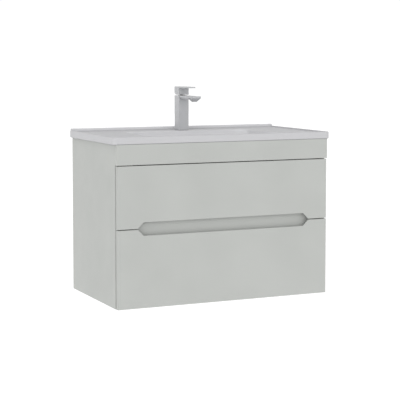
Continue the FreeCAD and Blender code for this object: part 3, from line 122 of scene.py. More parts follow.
@dataclass
class Surface:
    """A material's nodes, to which a finish adds its patterns.

    Attributes:
        tree: The material's tree.
        shader: Its shader, with the finish's colour and roughness.
        place: Where on the piece, in metres.
    """
    tree: bpy.types.NodeTree
    shader: bpy.types.Node
    place: bpy.types.NodeSocket

    def noise(self, size_mm: float, detail: float = 2.0,
              stretch: Triple = EVEN) -> bpy.types.NodeSocket:
        """Noise whose blots are so many millimetres wide.

        Args:
            size_mm: Width of a blot.
            detail: How many finer layers it has.
            stretch: Its scale along each axis; less than 1 draws the blots out.

        Returns:
            The noise's value.
        """
        place = self.place
        if stretch != EVEN:
            place = add(self.tree, "Mapping", {"Scale": stretch},
                        {"Vector": place}).outputs["Vector"]
        node = add(self.tree, "TexNoise", {"Scale": per_metre(size_mm), "Detail": detail},
                   {"Vector": place})
        return node.outputs["Fac"]

    def between(self, pattern: bpy.types.NodeSocket, low: float,
                high: float) -> bpy.types.NodeSocket:
        """Noise spread from one value to another.

        Args:
            pattern: The noise.
            low: What its dark parts become.
            high: What its light parts become.

        Returns:
            The spread value.
        """
        node = add(self.tree, "MapRange", {"From Min": NOISE_LOW, "From Max": NOISE_HIGH,
                                           "To Min": low, "To Max": high}, {"Value": pattern})
        return node.outputs["Result"]

    def inside(self, centre: Triple, reach: Triple, fade: float) -> bpy.types.NodeSocket:
        """1 in a box and 0 outside it.

        Args:
            centre: The box's middle, in millimetres.
            reach: From its middle to its faces.
            fade: Over how much of its reach it fades, from its faces inwards.

        Returns:
            The share.
        """
        centred = add(self.tree, "Mapping", {
            "vector_type": "TEXTURE",
            "Location": tuple(metres(size) for size in centre),
            "Scale": tuple(metres(size) for size in reach),
        }, {"Vector": self.place})
        apart = add(self.tree, "VectorMath", {"operation": "ABSOLUTE"},
                    {0: centred.outputs["Vector"]})
        sides = add(self.tree, "SeparateXYZ", links={"Vector": apart.outputs["Vector"]})
        across = add(self.tree, "Math", {"operation": "MAXIMUM"},
                     {0: sides.outputs["X"], 1: sides.outputs["Y"]})
        farthest = add(self.tree, "Math", {"operation": "MAXIMUM"},
                       {0: across.outputs["Value"], 1: sides.outputs["Z"]})
        within = add(self.tree, "MapRange", {"From Min": 1.0, "From Max": 1.0 - fade},
                     {"Value": farthest.outputs["Value"]})
        return within.outputs["Result"]

    def tint(self, share: bpy.types.NodeSocket, other: str) -> None:
        """Lets the colour drift towards another one, over any drift that it has already.

        Args:
            share: How much of the other colour there is.
            other: The other colour in sRGB hex.
        """
        colour = self.shader.inputs["Base Color"]
        mix = add(self.tree, "Mix", {"data_type": "RGBA"}, {"Factor": share})
        mix.inputs[MIX_FIRST].default_value = colour.default_value
        for link in colour.links:
            self.tree.links.new(link.from_socket, mix.inputs[MIX_FIRST])
        mix.inputs[MIX_SECOND].default_value = linear(other)
        self.tree.links.new(mix.outputs[MIX_RESULT], colour)

    def gloss(self, pattern: bpy.types.NodeSocket, low: float, high: float) -> None:
        """Lets the roughness drift with a pattern.

        Args:
            pattern: The noise that it follows.
            low: What is added to the roughness in the pattern's dark parts.
            high: What is added to it in the light parts.
        """
        rough = self.shader.inputs["Roughness"]
        drift = self.between(pattern, rough.default_value + low, rough.default_value + high)
        self.tree.links.new(drift, rough)

    def bump(self, height: bpy.types.NodeSocket, depth_mm: float) -> None:
        """Raises and sinks the surface by so many millimetres.

        Args:
            height: The pattern, from 0 to 1.
            depth_mm: How high its top stands over its bottom.
        """
        node = add(self.tree, "Bump", {"Strength": 1.0, "Distance": metres(depth_mm)},
                   {"Height": height})
        self.tree.links.new(node.outputs["Normal"], self.shader.inputs["Normal"])


@dataclass(frozen=True)
class Finish:
    """A finish with one colour; its subclasses add the patterns that the real surface has.

    Attributes:
        name: The material's name.
        colour: Its colour in sRGB hex.
        roughness: How matt it is.
        metallic: 1 for bare metal.
        ior: Its index of refraction; a metal keeps the default.
    """
    name: str
    colour: str
    roughness: float
    metallic: float = 0.0
    ior: float = 1.5

    def material(self) -> bpy.types.Material:
        """The finish as a material, made once.

        Returns:
            The material.
        """
        made = bpy.data.materials.get(self.name)
        if made:
            return made
        made = bpy.data.materials.new(self.name)
        made.use_nodes = True
        tree = made.node_tree
        tree.nodes.clear()
        shader = add(tree, "BsdfPrincipled", {
            "Base Color": linear(self.colour), "Roughness": self.roughness,
            "Metallic": self.metallic, "IOR": self.ior,
        })
        add(tree, "OutputMaterial", links={"Surface": shader.outputs["BSDF"]})
        self.dress(Surface(tree, shader, add(tree, "TexCoord").outputs["Object"]))
        return made

    def dress(self, surface: Surface) -> None:
        """Adds the finish's patterns to a surface."""
        raise NotImplementedError


@dataclass(frozen=True)
class SprayedLacquer(Finish):
    """Matt two-pack lacquer sprayed on MDF: almost flat, with the faint orange peel of a gun.

    Attributes:
        peel_mm: Width of the orange peel's cells.
        peel_depth_mm: How deep they are.
        drift: The colour that it drifts towards from one coat to the next.
        drift_mm: Width of that drift.
        drift_share: How far it goes at most.
        sheen_mm: Width of the patches of sheen.
        sheen: How far the roughness drifts each way.
    """
    peel_mm: float = 2.2
    peel_depth_mm: float = 0.006
    drift: str = "#b0b2af"
    drift_mm: float = 160.0
    drift_share: float = 0.5
    sheen_mm: float = 45.0
    sheen: float = 0.04

    def dress(self, surface: Surface) -> None:
        """Orange peel, and a slow drift of colour and of sheen.

        Args:
            surface: The surface that gets them.
        """
        surface.bump(surface.noise(self.peel_mm), self.peel_depth_mm)
        coats = surface.noise(self.drift_mm, 1.0)
        surface.tint(surface.between(coats, 0.0, self.drift_share), self.drift)
        surface.gloss(surface.noise(self.sheen_mm), -self.sheen, self.sheen)


@dataclass(frozen=True)
class Melamine(Finish):
    """White melamine paper pressed on chipboard: a fine pearl grain that scatters highlights.

    Attributes:
        pearl_mm: Width of the pearl grain, drawn about three times as coarse as it is, to show.
        pearl_depth_mm: How deep it is.
        print_colour: The darker colour of the paper's mottle.
        mottle_mm: Width of the mottle.
    """
    pearl_mm: float = 0.9
    pearl_depth_mm: float = 0.02
    print_colour: str = "#d3d2cf"
    mottle_mm: float = 30.0

    def dress(self, surface: Surface) -> None:
        """Pearl grain and the paper's soft mottle.

        Args:
            surface: The surface that gets them.
        """
        surface.bump(surface.noise(self.pearl_mm, 3.0), self.pearl_depth_mm)
        mottle = surface.noise(self.mottle_mm, 4.0)
        surface.tint(surface.between(mottle, 0.0, 1.0), self.print_colour)


@dataclass(frozen=True)
class Glaze(Finish):
    """Vitreous china under a clear glaze: a white body with slow waves in its surface, and painted
    light: a whiter colour painted in the bowl and on the upstand at the wall, standing in for the
    light they catch.

    Attributes:
        coat: Weight of the clear glaze over the body.
        coat_roughness: How matt that glaze is.
        specular: How strongly the body under it shines.
        wave_mm: Width of the waves.
        wave_depth_mm: How deep they are.
        painted_light_colour: The whiter colour painted in the bowl and on the upstand, as painted
            light.
        bowl: The bowl's middle and its reach, in millimetres.
        upstand: The upstand's.
        fade: Over how much of that reach the colour fades.
        cloud_mm: Width of the clouds in that colour.
        cloud_least: The least share of it in a cloud.
    """
    coat: float = 0.02
    coat_roughness: float = 0.15
    specular: float = 0.03
    wave_mm: float = 40.0
    wave_depth_mm: float = 0.05
    # Painted light: the whiter colour that is painted in the bowl and on the upstand.
    painted_light_colour: str = "#d0d0d2"
    bowl: tuple[Triple, Triple] = ((0.0, -243.0, 500.0), (246.0, 148.0, 60.0))
    upstand: tuple[Triple, Triple] = ((0.0, -7.0, 571.0), (402.0, 11.0, 9.0))
    fade: float = 0.06
    cloud_mm: float = 90.0
    cloud_least: float = 0.85

    def dress(self, surface: Surface) -> None:
        """The thin coat, its long waves and the whiter painted light in the bowl and on the upstand.

        Args:
            surface: The surface that gets them.
        """
        surface.shader.inputs["Coat Weight"].default_value = self.coat
        surface.shader.inputs["Coat Roughness"].default_value = self.coat_roughness
        surface.shader.inputs["Specular IOR Level"].default_value = self.specular
        surface.bump(surface.noise(self.wave_mm, 1.0), self.wave_depth_mm)
        cloud = surface.between(surface.noise(self.cloud_mm, 1.0), self.cloud_least, 1.0)
        # Painted light: the bowl and the upstand are painted whiter, in soft clouds, standing in for
        # the light they catch.
        for centre, reach in (self.bowl, self.upstand):
            share = add(surface.tree, "Math", {"operation": "MULTIPLY"},
                        {0: surface.inside(centre, reach, self.fade), 1: cloud})
            surface.tint(share.outputs["Value"], self.painted_light_colour)


@dataclass(frozen=True)
class SatinChrome(Finish):
    """Chrome plate over satin-ground brass: a soft grey sheen with hairlines and haze, no mirror.

    Attributes:
        haze_mm: Width of the patches of haze.
        clear: How much less matt it is between them.
        hazy: How much more matt it is in them.
        hairline_mm: Width of the hairlines, drawn about ten times as coarse as they are, to show.
        hairline_stretch: How they are drawn out along Z.
        hairline_depth_mm: How deep they are.
    """
    haze_mm: float = 14.0
    clear: float = 0.03
    hazy: float = 0.05
    hairline_mm: float = 0.6
    hairline_stretch: Triple = (1.0, 1.0, 0.08)
    hairline_depth_mm: float = 0.0006

    def dress(self, surface: Surface) -> None:
        """Haze that comes and goes, and hairlines from wiping.

        Args:
            surface: The surface that gets them.
        """
        surface.gloss(surface.noise(self.haze_mm, 3.0), -self.clear, self.hazy)
        lines = surface.noise(self.hairline_mm, stretch=self.hairline_stretch)
        surface.bump(lines, self.hairline_depth_mm)


@dataclass(frozen=True)
class ZincPlate(Finish):
    """Pressed steel with bright zinc plating: bluish grey, with soft clouds and rolling lines.

    Attributes:
        cloud_mm: Width of the plating's clouds.
        cloud_colour: The colour that it drifts towards in them.
        cloud_share: How far it goes at most.
        dull: How much more matt it is between the clouds.
        bright: How much less matt it is in them.
        rolling_mm: Width of the sheet's rolling lines.
        rolling_stretch: How they are drawn out along Y.
        rolling_depth_mm: How deep they are.
    """
    cloud_mm: float = 9.0
    cloud_colour: str = "#9ea2a8"
    cloud_share: float = 0.6
    dull: float = 0.08
    bright: float = 0.06
    rolling_mm: float = 1.2
    rolling_stretch: Triple = (1.0, 0.03, 1.0)
    rolling_depth_mm: float = 0.004

    def dress(self, surface: Surface) -> None:
        """Plating clouds in colour and gloss, and the sheet's rolling lines.

        Args:
            surface: The surface that gets them.
        """
        cloud = surface.noise(self.cloud_mm, 3.0)
        surface.tint(surface.between(cloud, 0.0, self.cloud_share), self.cloud_colour)
        surface.gloss(cloud, self.dull, -self.bright)
        lines = surface.noise(self.rolling_mm, stretch=self.rolling_stretch)
        surface.bump(lines, self.rolling_depth_mm)


@dataclass(frozen=True)
class Wood(Finish):
    """Turned beech: pale, with short darker flecks along the grain.

    Attributes:
        late: The colour of the flecks.
        fleck_mm: Their width.
        fleck_stretch: How they are drawn out along the dowels, which lie along X.
        fleck_share: How dark they are at most.
        fleck_depth_mm: How deep their grain is.
    """
    late: str = "#b88d5e"
    fleck_mm: float = 0.8
    fleck_stretch: Triple = (0.1, 1.0, 1.0)
    fleck_share: float = 0.8
    fleck_depth_mm: float = 0.02

    def dress(self, surface: Surface) -> None:
        """Flecks drawn out along the grain.

        Args:
            surface: The surface that gets them.
        """
        fleck = surface.noise(self.fleck_mm, 4.0, self.fleck_stretch)
        surface.tint(surface.between(fleck, 0.0, self.fleck_share), self.late)
        surface.bump(fleck, self.fleck_depth_mm)


@dataclass(frozen=True)
class Moulded(Finish):
    """Moulded plastic or rubber: even, with the spark-eroded grain of its mould.

    Attributes:
        spark_mm: Width of the grain, drawn about five times as coarse as it is, to show.
        spark_depth_mm: How deep it is.
        flow_mm: Width of the flow's patches.
        flow: How far the roughness drifts each way in them.
    """
    spark_mm: float = 0.5
    spark_depth_mm: float = 0.01
    flow_mm: float = 12.0
    flow: float = 0.05

    def dress(self, surface: Surface) -> None:
        """The mould's grain and a slight change of gloss along the flow.

        Args:
            surface: The surface that gets them.
        """
        surface.bump(surface.noise(self.spark_mm), self.spark_depth_mm)
        surface.gloss(surface.noise(self.flow_mm), -self.flow, self.flow)


@dataclass(frozen=True)
class LightTable(Moulded):
    """Opal acrylic with a fine cast grain, lit softly from below.

    Attributes:
        glow: How strong that light is.
    """
    glow: float = 0.15

    def dress(self, surface: Surface) -> None:
        """The cast grain and the even glow.

        Args:
            surface: The surface that gets them.
        """
        super().dress(surface)
        surface.shader.inputs["Emission Color"].default_value = linear(self.colour)
        surface.shader.inputs["Emission Strength"].default_value = self.glow


@dataclass(frozen=True)
class ClearPad(Finish):
    """Clear polyurethane: soft, water-clear drops that take the colour behind them.

    Attributes:
        transmission: How clear they are.
        skin_mm: Width of the waves in their skin.
        skin_depth_mm: How deep those are.
    """
    transmission: float = 0.85
    skin_mm: float = 1.5
    skin_depth_mm: float = 0.01

    def dress(self, surface: Surface) -> None:
        """Clear all through, with a finely cast skin."""
        surface.shader.inputs["Transmission Weight"].default_value = self.transmission
        surface.bump(surface.noise(self.skin_mm), self.skin_depth_mm)


LACQUER = SprayedLacquer("sprayed_matt_lacquer", "#a9aba8", 0.6, ior=1.4)
MELAMINE = Melamine("white_melamine", "#d8d7d4", 0.45)
CERAMIC = Glaze("glazed_vitreous_china", "#b8b8ba", 0.5, ior=1.5)
CHROME = SatinChrome("satin_chrome", "#b6b7b9", 0.5, 0.3)
ZINC = ZincPlate("bright_zinc_plate", "#b4b7bb", 0.34, 1.0)
# Cast zinc is darker and more matt than plated sheet, and its clouds are as fine as its grain.
CAST_ZINC = ZincPlate("die_cast_zinc", "#95989c", 0.5, 1.0, cloud_mm=3.0)
# Nickel is warmer than zinc and shines the most of the three.
NICKEL = ZincPlate("nickel_plated_brass", "#96948e", 0.3, 1.0, cloud_mm=5.0)
BEECH = Wood("turned_beech", "#cfa878", 0.6)
# Acetal is a milky white with a waxy gloss, nitrile a blue-black that hardly shines.
ACETAL = Moulded("white_acetal", "#d2d2ce", 0.4, ior=1.48)
RUBBER = Moulded("black_nitrile", "#26262a", 0.6, ior=1.52)
PAD = ClearPad("clear_polyurethane", "#f2f3f2", 0.12, ior=1.46)
# The floor's grain is drawn several times as coarse as a cast sheet's, to show at all.
OPAL = LightTable("opal_acrylic", "#fbfbfb", 0.9, spark_mm=4.0)

SLOTS = {
    "lacquered_board": LACQUER, "melamine_board": MELAMINE, "zinc_plated_steel": ZINC,
    "cast_zinc": CAST_ZINC, "beech": BEECH, "clear_pad": PAD, "glazed_ceramic": CERAMIC,
    "chrome": CHROME, "brass": NICKEL, "plastic": ACETAL, "rubber_seal": RUBBER,
}
NODE_SLOTS = {part["node"]: part["material_slot"] for part in frame["record"]["subparts"]}
NODE_BODIES = {node: body for body, nodes in frame["record"]["behaviour"]["bodies"].items()
               for node in nodes}


# ---- shaping -----------------------------------------------------------------------------------

def cross_points(reach: float, half: float) -> list[Point]:
    """A cross recess seen from above.

    Args:
        reach: From its middle to the end of an arm.
        half: Half an arm's width.

    Returns:
        Its corners, anticlockwise.
    """
    corners = []
    for turn in range(4):
        angle = turn * math.pi / 2
        corners += [(x * math.cos(angle) - y * math.sin(angle),
                     x * math.sin(angle) + y * math.cos(angle))
                    for x, y in ((reach, -half), (reach, half), (half, half))]
    return corners


def round_points(radius: float, count: int) -> list[Point]:
    """Points round a circle, anticlockwise."""
    return [(radius * math.cos(math.tau * at / count), radius * math.sin(math.tau * at / count))
            for at in range(count)]


def ring(bm: bmesh.types.BMesh, points: list[Point], height: float) -> Loop:
    """Corners at one height, joined into a loop.

    Args:
        bm: The mesh that gets them.
        points: Where they are, seen from above.
        height: Their Z.

    Returns:
        The corners, in the same order.
    """
    verts = [bm.verts.new((x, y, height)) for x, y in points]
    for at, vert in enumerate(verts):
        bm.edges.new((verts[at - 1], vert))
    return verts


def wall(bm: bmesh.types.BMesh, low: Loop, high: Loop) -> None:
    """Faces from one loop to the next one, corner to corner."""
    for at in range(len(low)):
        bm.faces.new((low[at - 1], low[at], high[at], high[at - 1]))


def turned(profile: list[Point], count: int) -> tuple[bmesh.types.BMesh, Loop]:
    """A turned solid about Z with a closed foot and an open top.

    Args:
        profile: Radius and height, from its foot to its top.
        count: How many facets go round.

    Returns:
        The mesh and its topmost loop.
    """
    bm = bmesh.new()
    loops = [ring(bm, round_points(radius, count), height) for radius, height in profile]
    for low, high in zip(loops, loops[1:]):
        wall(bm, low, high)
    bm.faces.new(loops[0][::-1])
    return bm, loops[-1]


def turned_head(profile: list[Point], reach: float, half: float, depth: float,
                narrowing: float = 0.7, count: int = 48) -> bmesh.types.BMesh:
    """A turned head standing on Z, with a cross recess pressed into its top.

    Args:
        profile: Radius and height from its foot to the edge of its top.
        reach: From the recess's middle to the end of an arm.
        half: Half an arm's width.
        depth: How deep the recess is.
        narrowing: How wide the recess's floor is, as a share of its mouth.
        count: How many facets go round.

    Returns:
        The closed mesh.
    """
    bm, edge = turned(profile, count)
    top = profile[-1][1]
    mouth = ring(bm, cross_points(reach, half), top)
    floor = ring(bm, cross_points(reach * narrowing, half * narrowing), top - depth)
    wall(bm, mouth, floor)
    bm.faces.new(floor)
    rims = [bm.edges.get((loop[at - 1], loop[at])) for loop in (edge, mouth)
            for at in range(len(loop))]
    bmesh.ops.triangle_fill(bm, use_beauty=True, edges=rims, normal=(0.0, 0.0, 1.0))
    bmesh.ops.recalc_face_normals(bm, faces=bm.faces)
    return bm


def lathe(profile: list[Point], count: int = 96) -> bmesh.types.BMesh:
    """A closed turned solid about Z.

    Args:
        profile: Radius and height, from its foot to its top.
        count: How many facets go round.

    Returns:
        The closed mesh.
    """
    bm, edge = turned(profile, count)
    bm.faces.new(edge)
    return bm


def facing(way: Vector, place: Vector) -> Matrix:
    """The matrix that stands a mesh built on Z at a place, pointing a way."""
    return Matrix.Translation(place) @ way.to_track_quat("Z", "Y").to_matrix().to_4x4()


def solids(node: str) -> list[list[Vector]]:
    """The separate solids of a node, each as its points.

    Args:
        node: The CAD node's name.

    Returns:
        One list of points for each solid, in the order of its first face.
    """
    mesh = frame["nodes"][node].data
    keys = [tuple(round(number, POINT_DIGITS) for number in vert.co) for vert in mesh.vertices]
    parent = {key: key for key in keys}

    def root(key: tuple) -> tuple:
        """The key that stands for a point's solid.

        Args:
            key: The point.

        Returns:
            The point that the solid's others lead to.
        """
        while parent[key] != key:
            parent[key] = parent[parent[key]]
            key = parent[key]
        return key

    for face in mesh.polygons:
        first = root(keys[face.vertices[0]])
        for index in face.vertices[1:]:
            parent[root(keys[index])] = first
    groups = {}
    for key in parent:
        groups.setdefault(root(key), []).append(Vector(key))
    return list(groups.values())


def span(points: list[Vector]) -> tuple[Vector, Vector]:
    """The lowest and highest corner of some points."""
    axes = list(zip(*points))
    return Vector([min(axis) for axis in axes]), Vector([max(axis) for axis in axes])


@dataclass
class Assembly:
    """Pieces that are finished together.

    Attributes:
        ease: How far sharp edges are broken, in millimetres.
        sharp: The angle from which an edge is broken, in degrees.
        crease: The angle from which the shading breaks too.
        weld_mm: Corners nearer than this become one.
        flat: Faces that meet at less than this angle become one.
        facets: How many facets a broken edge gets.
        long_facets: How many it gets where only long edges are broken.
    """
    ease: float = 0.4
    sharp: float = 28.0
    crease: float = 50.0
    weld_mm: float = 0.003
    flat: float = 0.4
    facets: int = 2
    long_facets: int = 3

    def build(self) -> None:
        """Makes and dresses the pieces."""
        raise NotImplementedError

    def piece(self, name: str, bm: bmesh.types.BMesh, finish: Finish, *nodes: str,
              weighted: bool = True) -> bpy.types.Object:
        """A finished piece that stands for CAD nodes of one body.

        Args:
            name: The piece's name.
            bm: Its mesh, which is used up.
            finish: What it is made of.
            nodes: The CAD nodes that it replaces.
            weighted: Whether broad faces keep their flat shading.

        Returns:
            The new object.
        """
        mesh = bpy.data.meshes.new(name)
        bm.to_mesh(mesh)
        bm.free()
        mesh.shade_smooth()
        mesh.set_sharp_from_angle(angle=math.radians(self.crease))
        mesh.materials.append(finish.material())
        made = bpy.data.objects.new(name, mesh)
        bpy.context.scene.collection.objects.link(made)
        if weighted:
            modifier = made.modifiers.new("flat_faces", "WEIGHTED_NORMAL")
            modifier.keep_sharp = True
        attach(made, NODE_BODIES[nodes[0]])
        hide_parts(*nodes)
        LOG.info("built %s for %s", name, ", ".join(nodes))
        return made

    def keep(self, node: str) -> None:
        """Dresses a CAD node whose shape stays."""
        frame["nodes"][node].material_slots[0].material = SLOTS[NODE_SLOTS[node]].material()
        LOG.info("dressed %s", node)

    def eased(self, node: str, width: float | None = None,
              shortest: float = 0.0) -> bpy.types.Object:
        """A node's own shape with its sharp edges broken.

        Args:
            node: The CAD node that it replaces.
            width: How far its edges are broken, in millimetres; the assembly's ease without it.
            shortest: The shortest edge that is broken, in millimetres.

        Returns:
            The new object.
        """
        bm = bmesh.new()
        bm.from_mesh(frame["nodes"][node].data)
        bmesh.ops.remove_doubles(bm, verts=bm.verts, dist=metres(self.weld_mm))
        bmesh.ops.dissolve_limit(bm, angle_limit=math.radians(self.flat), verts=bm.verts,
                                 edges=bm.edges)
        corner = math.radians(self.sharp)
        edges = [edge for edge in bm.edges
                 if edge.is_manifold and edge.calc_face_angle() > corner
                 and edge.calc_length() > metres(shortest)]
        bmesh.ops.bevel(bm, geom=edges, offset=metres(width or self.ease),
                        segments=self.long_facets if shortest else self.facets,
                        profile=0.5, affect="EDGES", clamp_overlap=False, loop_slide=False)
        return self.piece(f"{node}.eased", bm, SLOTS[NODE_SLOTS[node]], node)


# ---- sub-assemblies ----------------------------------------------------------------------------

@dataclass
class Carcass(Assembly):
    """The fixed boards, with the fascia under the basin.

    Attributes:
        ease: How far the boards' edges are broken.
        fascia_ease: The same on the fascia, which shows.
        fascia_edge: The shortest edge that is broken there.
        boards: The boards' nodes.
    """
    ease: float = 0.8
    fascia_ease: float = 1.8
    fascia_edge: float = 22.0
    boards: tuple[str, ...] = (
        "side_panel_left", "side_panel_right", "bottom_panel", "lower_back_rail",
        "hanging_rail", "finger_rail", "front_stretcher",
    )

    def build(self) -> None:
        """Breaks the edges of every board, as sanding before spraying does."""
        for board in self.boards:
            self.eased(board)
        self.eased("fascia_board", self.fascia_ease, self.fascia_edge)


class Level(Enum):
    """Which of the two drawers."""
    UPPER = "upper"
    LOWER = "lower"


@dataclass
class Drawer(Assembly):
    """One drawer: its front, its box and the brackets between them.

    Attributes:
        level: Which of the two it is.
        ease: How far the box's edges are broken.
        bracket_ease: The same on the pressed brackets and runners.
        front_ease: The same on the front, which shows.
        front_edge: The shortest edge that is broken there.
    """
    level: Level = Level.UPPER
    ease: float = 0.5
    bracket_ease: float = 0.3
    front_ease: float = 1.8
    front_edge: float = 22.0

    def build(self) -> None:
        """Breaks the edges of the boards and of the brackets."""
        for node, body in NODE_BODIES.items():
            if body != f"{self.level.value}_drawer" or node.endswith("screws"):
                continue
            if node == f"{self.level.value}_front":
                self.eased(node, self.front_ease, self.front_edge)
            elif node.endswith(("brackets", "runners")):
                self.eased(node, self.bracket_ease)
            else:
                self.eased(node)


@dataclass
class Runners(Assembly):
    """The outer and middle members of the four drawer runners."""
    ease: float = 0.3

    def build(self) -> None:
        """Breaks the edges of the pressed members."""
        for level in Level:
            self.eased(f"{level.value}_outer_runners")
            self.eased(f"{level.value}_middle_runners")


@dataclass
class Fasteners(Assembly):
    """Pan-head screws with a cross recess, and the cams that pull the rails tight.

    Attributes:
        head_edge: Unit of the rounding of a screw's head.
        head_round: How far in and down that rounding goes, from the side to the top, in units.
        tip: Radius of a screw's tip, as a share of its shank.
        taper: Length of the tip, in radii of the shank.
        cross_reach: From the middle of a screw's cross to the end of an arm.
        cross_half: Half an arm's width.
        cross_depth: How deep the cross is.
        cam_edge: Unit of the rim of a cam.
        cam_round: How far in and down that rim goes, from the side to the sunk face, in units.
        cam_reach: From the middle of a cam's cross to the end of an arm.
        cam_half: Half an arm's width.
        cam_depth: How deep the cross is.
        screws: The screws' nodes.
    """
    head_edge: float = 0.25
    head_round: tuple[Point, ...] = ((0.0, 1.6), (0.4, 0.7), (1.4, 0.15), (3.0, 0.0))
    tip: float = 0.3
    taper: float = 0.9
    cross_reach: float = 2.0
    cross_half: float = 0.42
    cross_depth: float = 0.62
    cam_edge: float = 0.5
    cam_round: tuple[Point, ...] = ((0.0, 1.0), (0.3, 0.3), (1.0, 0.0), (2.4, 0.0), (2.8, 0.8))
    cam_reach: float = 4.2
    cam_half: float = 0.9
    cam_depth: float = 3.0
    screws: tuple[str, ...] = (
        "fascia_screws", "hanger_screws", "runner_screws", "upper_drawer_screws",
        "lower_drawer_screws",
    )

    def build(self) -> None:
        """Makes every screw and cam where the CAD has it."""
        for node in self.screws:
            self.make_screws(node)
        self.make_cams()
        for node in ("cam_bolts", "dowels", "bumper_pads"):
            self.keep(node)

    def make_screws(self, node: str) -> None:
        """All screws of one node, joined as the node's solids are.

        Args:
            node: The CAD node that holds them.
        """
        whole = bmesh.new()
        for points in solids(node):
            self.add_screw(whole, points)
        self.piece(node.replace("screws", "screw_set"), whole, SLOTS[NODE_SLOTS[node]], node)

    def add_screw(self, whole: bmesh.types.BMesh, points: list[Vector]) -> None:
        """One screw where the CAD has it; its head is at its wider end.

        Args:
            whole: The mesh that gets it.
            points: The CAD screw's points.
        """
        low, high = span(points)
        size = high - low
        axis = max(range(3), key=lambda at: size[at])
        middle = (low + high) / 2
        reach = {}
        for end in (low[axis], high[axis]):
            reach[end] = max(self.off_axis(point - middle, axis) for point in points
                             if abs(point[axis] - end) < metres(TOUCHING_MM))
        top = max(reach, key=reach.get)
        radii = sorted({round(self.off_axis(point - middle, axis), POINT_DIGITS)
                        for point in points})
        shank, head = radii[0], radii[-1]
        length = size[axis]
        thickness = min(abs(point[axis] - top) for point in points
                        if metres(TOUCHING_MM) < abs(point[axis] - top) < length / 2)
        unit = metres(self.head_edge)
        profile = [(shank * self.tip, -length), (shank, shank * self.taper - length),
                   (shank, -thickness), (head, -thickness)]
        profile += [(head - unit * across, -unit * down) for across, down in self.head_round]
        bm = turned_head(profile, metres(self.cross_reach), metres(self.cross_half),
                         metres(self.cross_depth))
        way = Vector([0.0, 0.0, 0.0])
        way[axis] = 1.0 if top == high[axis] else -1.0
        place = middle.copy()
        place[axis] = top
        self.join(whole, bm, facing(way, place))

    @staticmethod
    def off_axis(offset: Vector, axis: int) -> float:
        """How far a point is from a line through the origin along an axis."""
        return Vector([0.0 if at == axis else offset[at] for at in range(3)]).length

    @staticmethod
    def join(whole: bmesh.types.BMesh, bm: bmesh.types.BMesh, matrix: Matrix) -> None:
        """Adds one mesh to another and frees it.

        Args:
            whole: The mesh that gets it.
            bm: The mesh that is added.
            matrix: Where it goes.
        """
        bm.transform(matrix)
        mesh = bpy.data.meshes.new("part")
        bm.to_mesh(mesh)
        bm.free()
        whole.from_mesh(mesh)
        bpy.data.meshes.remove(mesh)

    def make_cams(self) -> None:
        """The cam discs; each shows the end that its bore opens to."""
        whole = bmesh.new()
        mid_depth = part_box("side_panel_left")[0].y / 2
        unit = metres(self.cam_edge)
        for points in solids("cam_discs"):
            low, high = span(points)
            size = high - low
            middle = (low + high) / 2
            axis = min(range(3), key=lambda at: size[at])
            opens_high = axis == 2 or middle.y < mid_depth
            way = Vector([0.0, 0.0, 0.0])
            way[axis] = 1.0 if opens_high else -1.0
            place = middle.copy()
            place[axis] = high[axis] if opens_high else low[axis]
            radius = max(size) / 2
            profile = [(radius, -size[axis])]
            profile += [(radius - unit * across, -unit * down) for across, down in self.cam_round]
            bm = turned_head(profile, metres(self.cam_reach), metres(self.cam_half),
                             metres(self.cam_depth))
            self.join(whole, bm, facing(way, place))
        self.piece("cam_set", whole, CAST_ZINC, "cam_discs")


@dataclass
class Hangers(Assembly):
    """The hidden hangers on the side panels and their plates on the wall.

    Attributes:
        ease: How far the plates' edges are broken.
        hanger_ease: The same on the hangers, whose steps are only 0.2 mm wide.
    """
    ease: float = 0.3
    hanger_ease: float = 0.08

    def build(self) -> None:
        """Breaks the sheared edges."""
        for side in ("left", "right"):
            self.eased(f"hanger_{side}", self.hanger_ease)
            self.eased(f"wall_plate_{side}")


@dataclass
class Basin(Assembly):
    """The basin with its waste, plug, seal and nut.

    Attributes:
        ease: How far the nut's edges are broken.
        plug_edge: How far the edge of the plug's cap is broken.
        plug_steps: How many steps its dome is drawn in.
        plug_crown: How near the dome's last ring comes to its middle, as a share of its arc.
        stem_least: The stem is wider than this radius.
        cap_least: The plug's cap is thicker than this.
    """
    ease: float = 0.35
    plug_edge: float = 0.8
    plug_steps: int = 10
    plug_crown: float = 0.985
    stem_least: float = 1.0
    cap_least: float = 4.5

    def build(self) -> None:
        """Glazes the basin and makes the domed plug."""
        for node in ("basin", "waste_body", "waste_seal", "waste_guide"):
            self.keep(node)
        self.eased("waste_nut")
        self.make_plug()

    def make_plug(self) -> None:
        """A flat dome with a rolled edge, on its stem."""
        low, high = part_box("waste_plug")
        middle = (low + high) / 2
        radius = (high.x - low.x) / 2
        points = [(math.hypot(vert.co.x - middle.x, vert.co.y - middle.y), vert.co.z)
                  for vert in frame["nodes"]["waste_plug"].data.vertices]
        stem = min(across for across, height in points
                   if height < low.z + metres(TOUCHING_MM) and across > metres(self.stem_least))
        cap = high.z - max(height for _, height in points
                           if height < high.z - metres(self.cap_least))
        edge = metres(self.plug_edge)
        profile = [(stem - edge / 2, low.z - high.z), (stem, low.z - high.z + edge / 2),
                   (stem, -cap), (radius - edge, -cap), (radius, -cap + edge)]
        spring = -cap + 3 * edge
        for step in range(self.plug_steps + 1):
            angle = step / self.plug_steps * math.pi / 2
            profile.append((radius * math.cos(angle * self.plug_crown),
                            spring * (1 - math.sin(angle))))
        bm = lathe(profile)
        bm.transform(Matrix.Translation((middle.x, middle.y, high.z)))
        self.piece("plug_dome", bm, CHROME, "waste_plug", weighted=False)


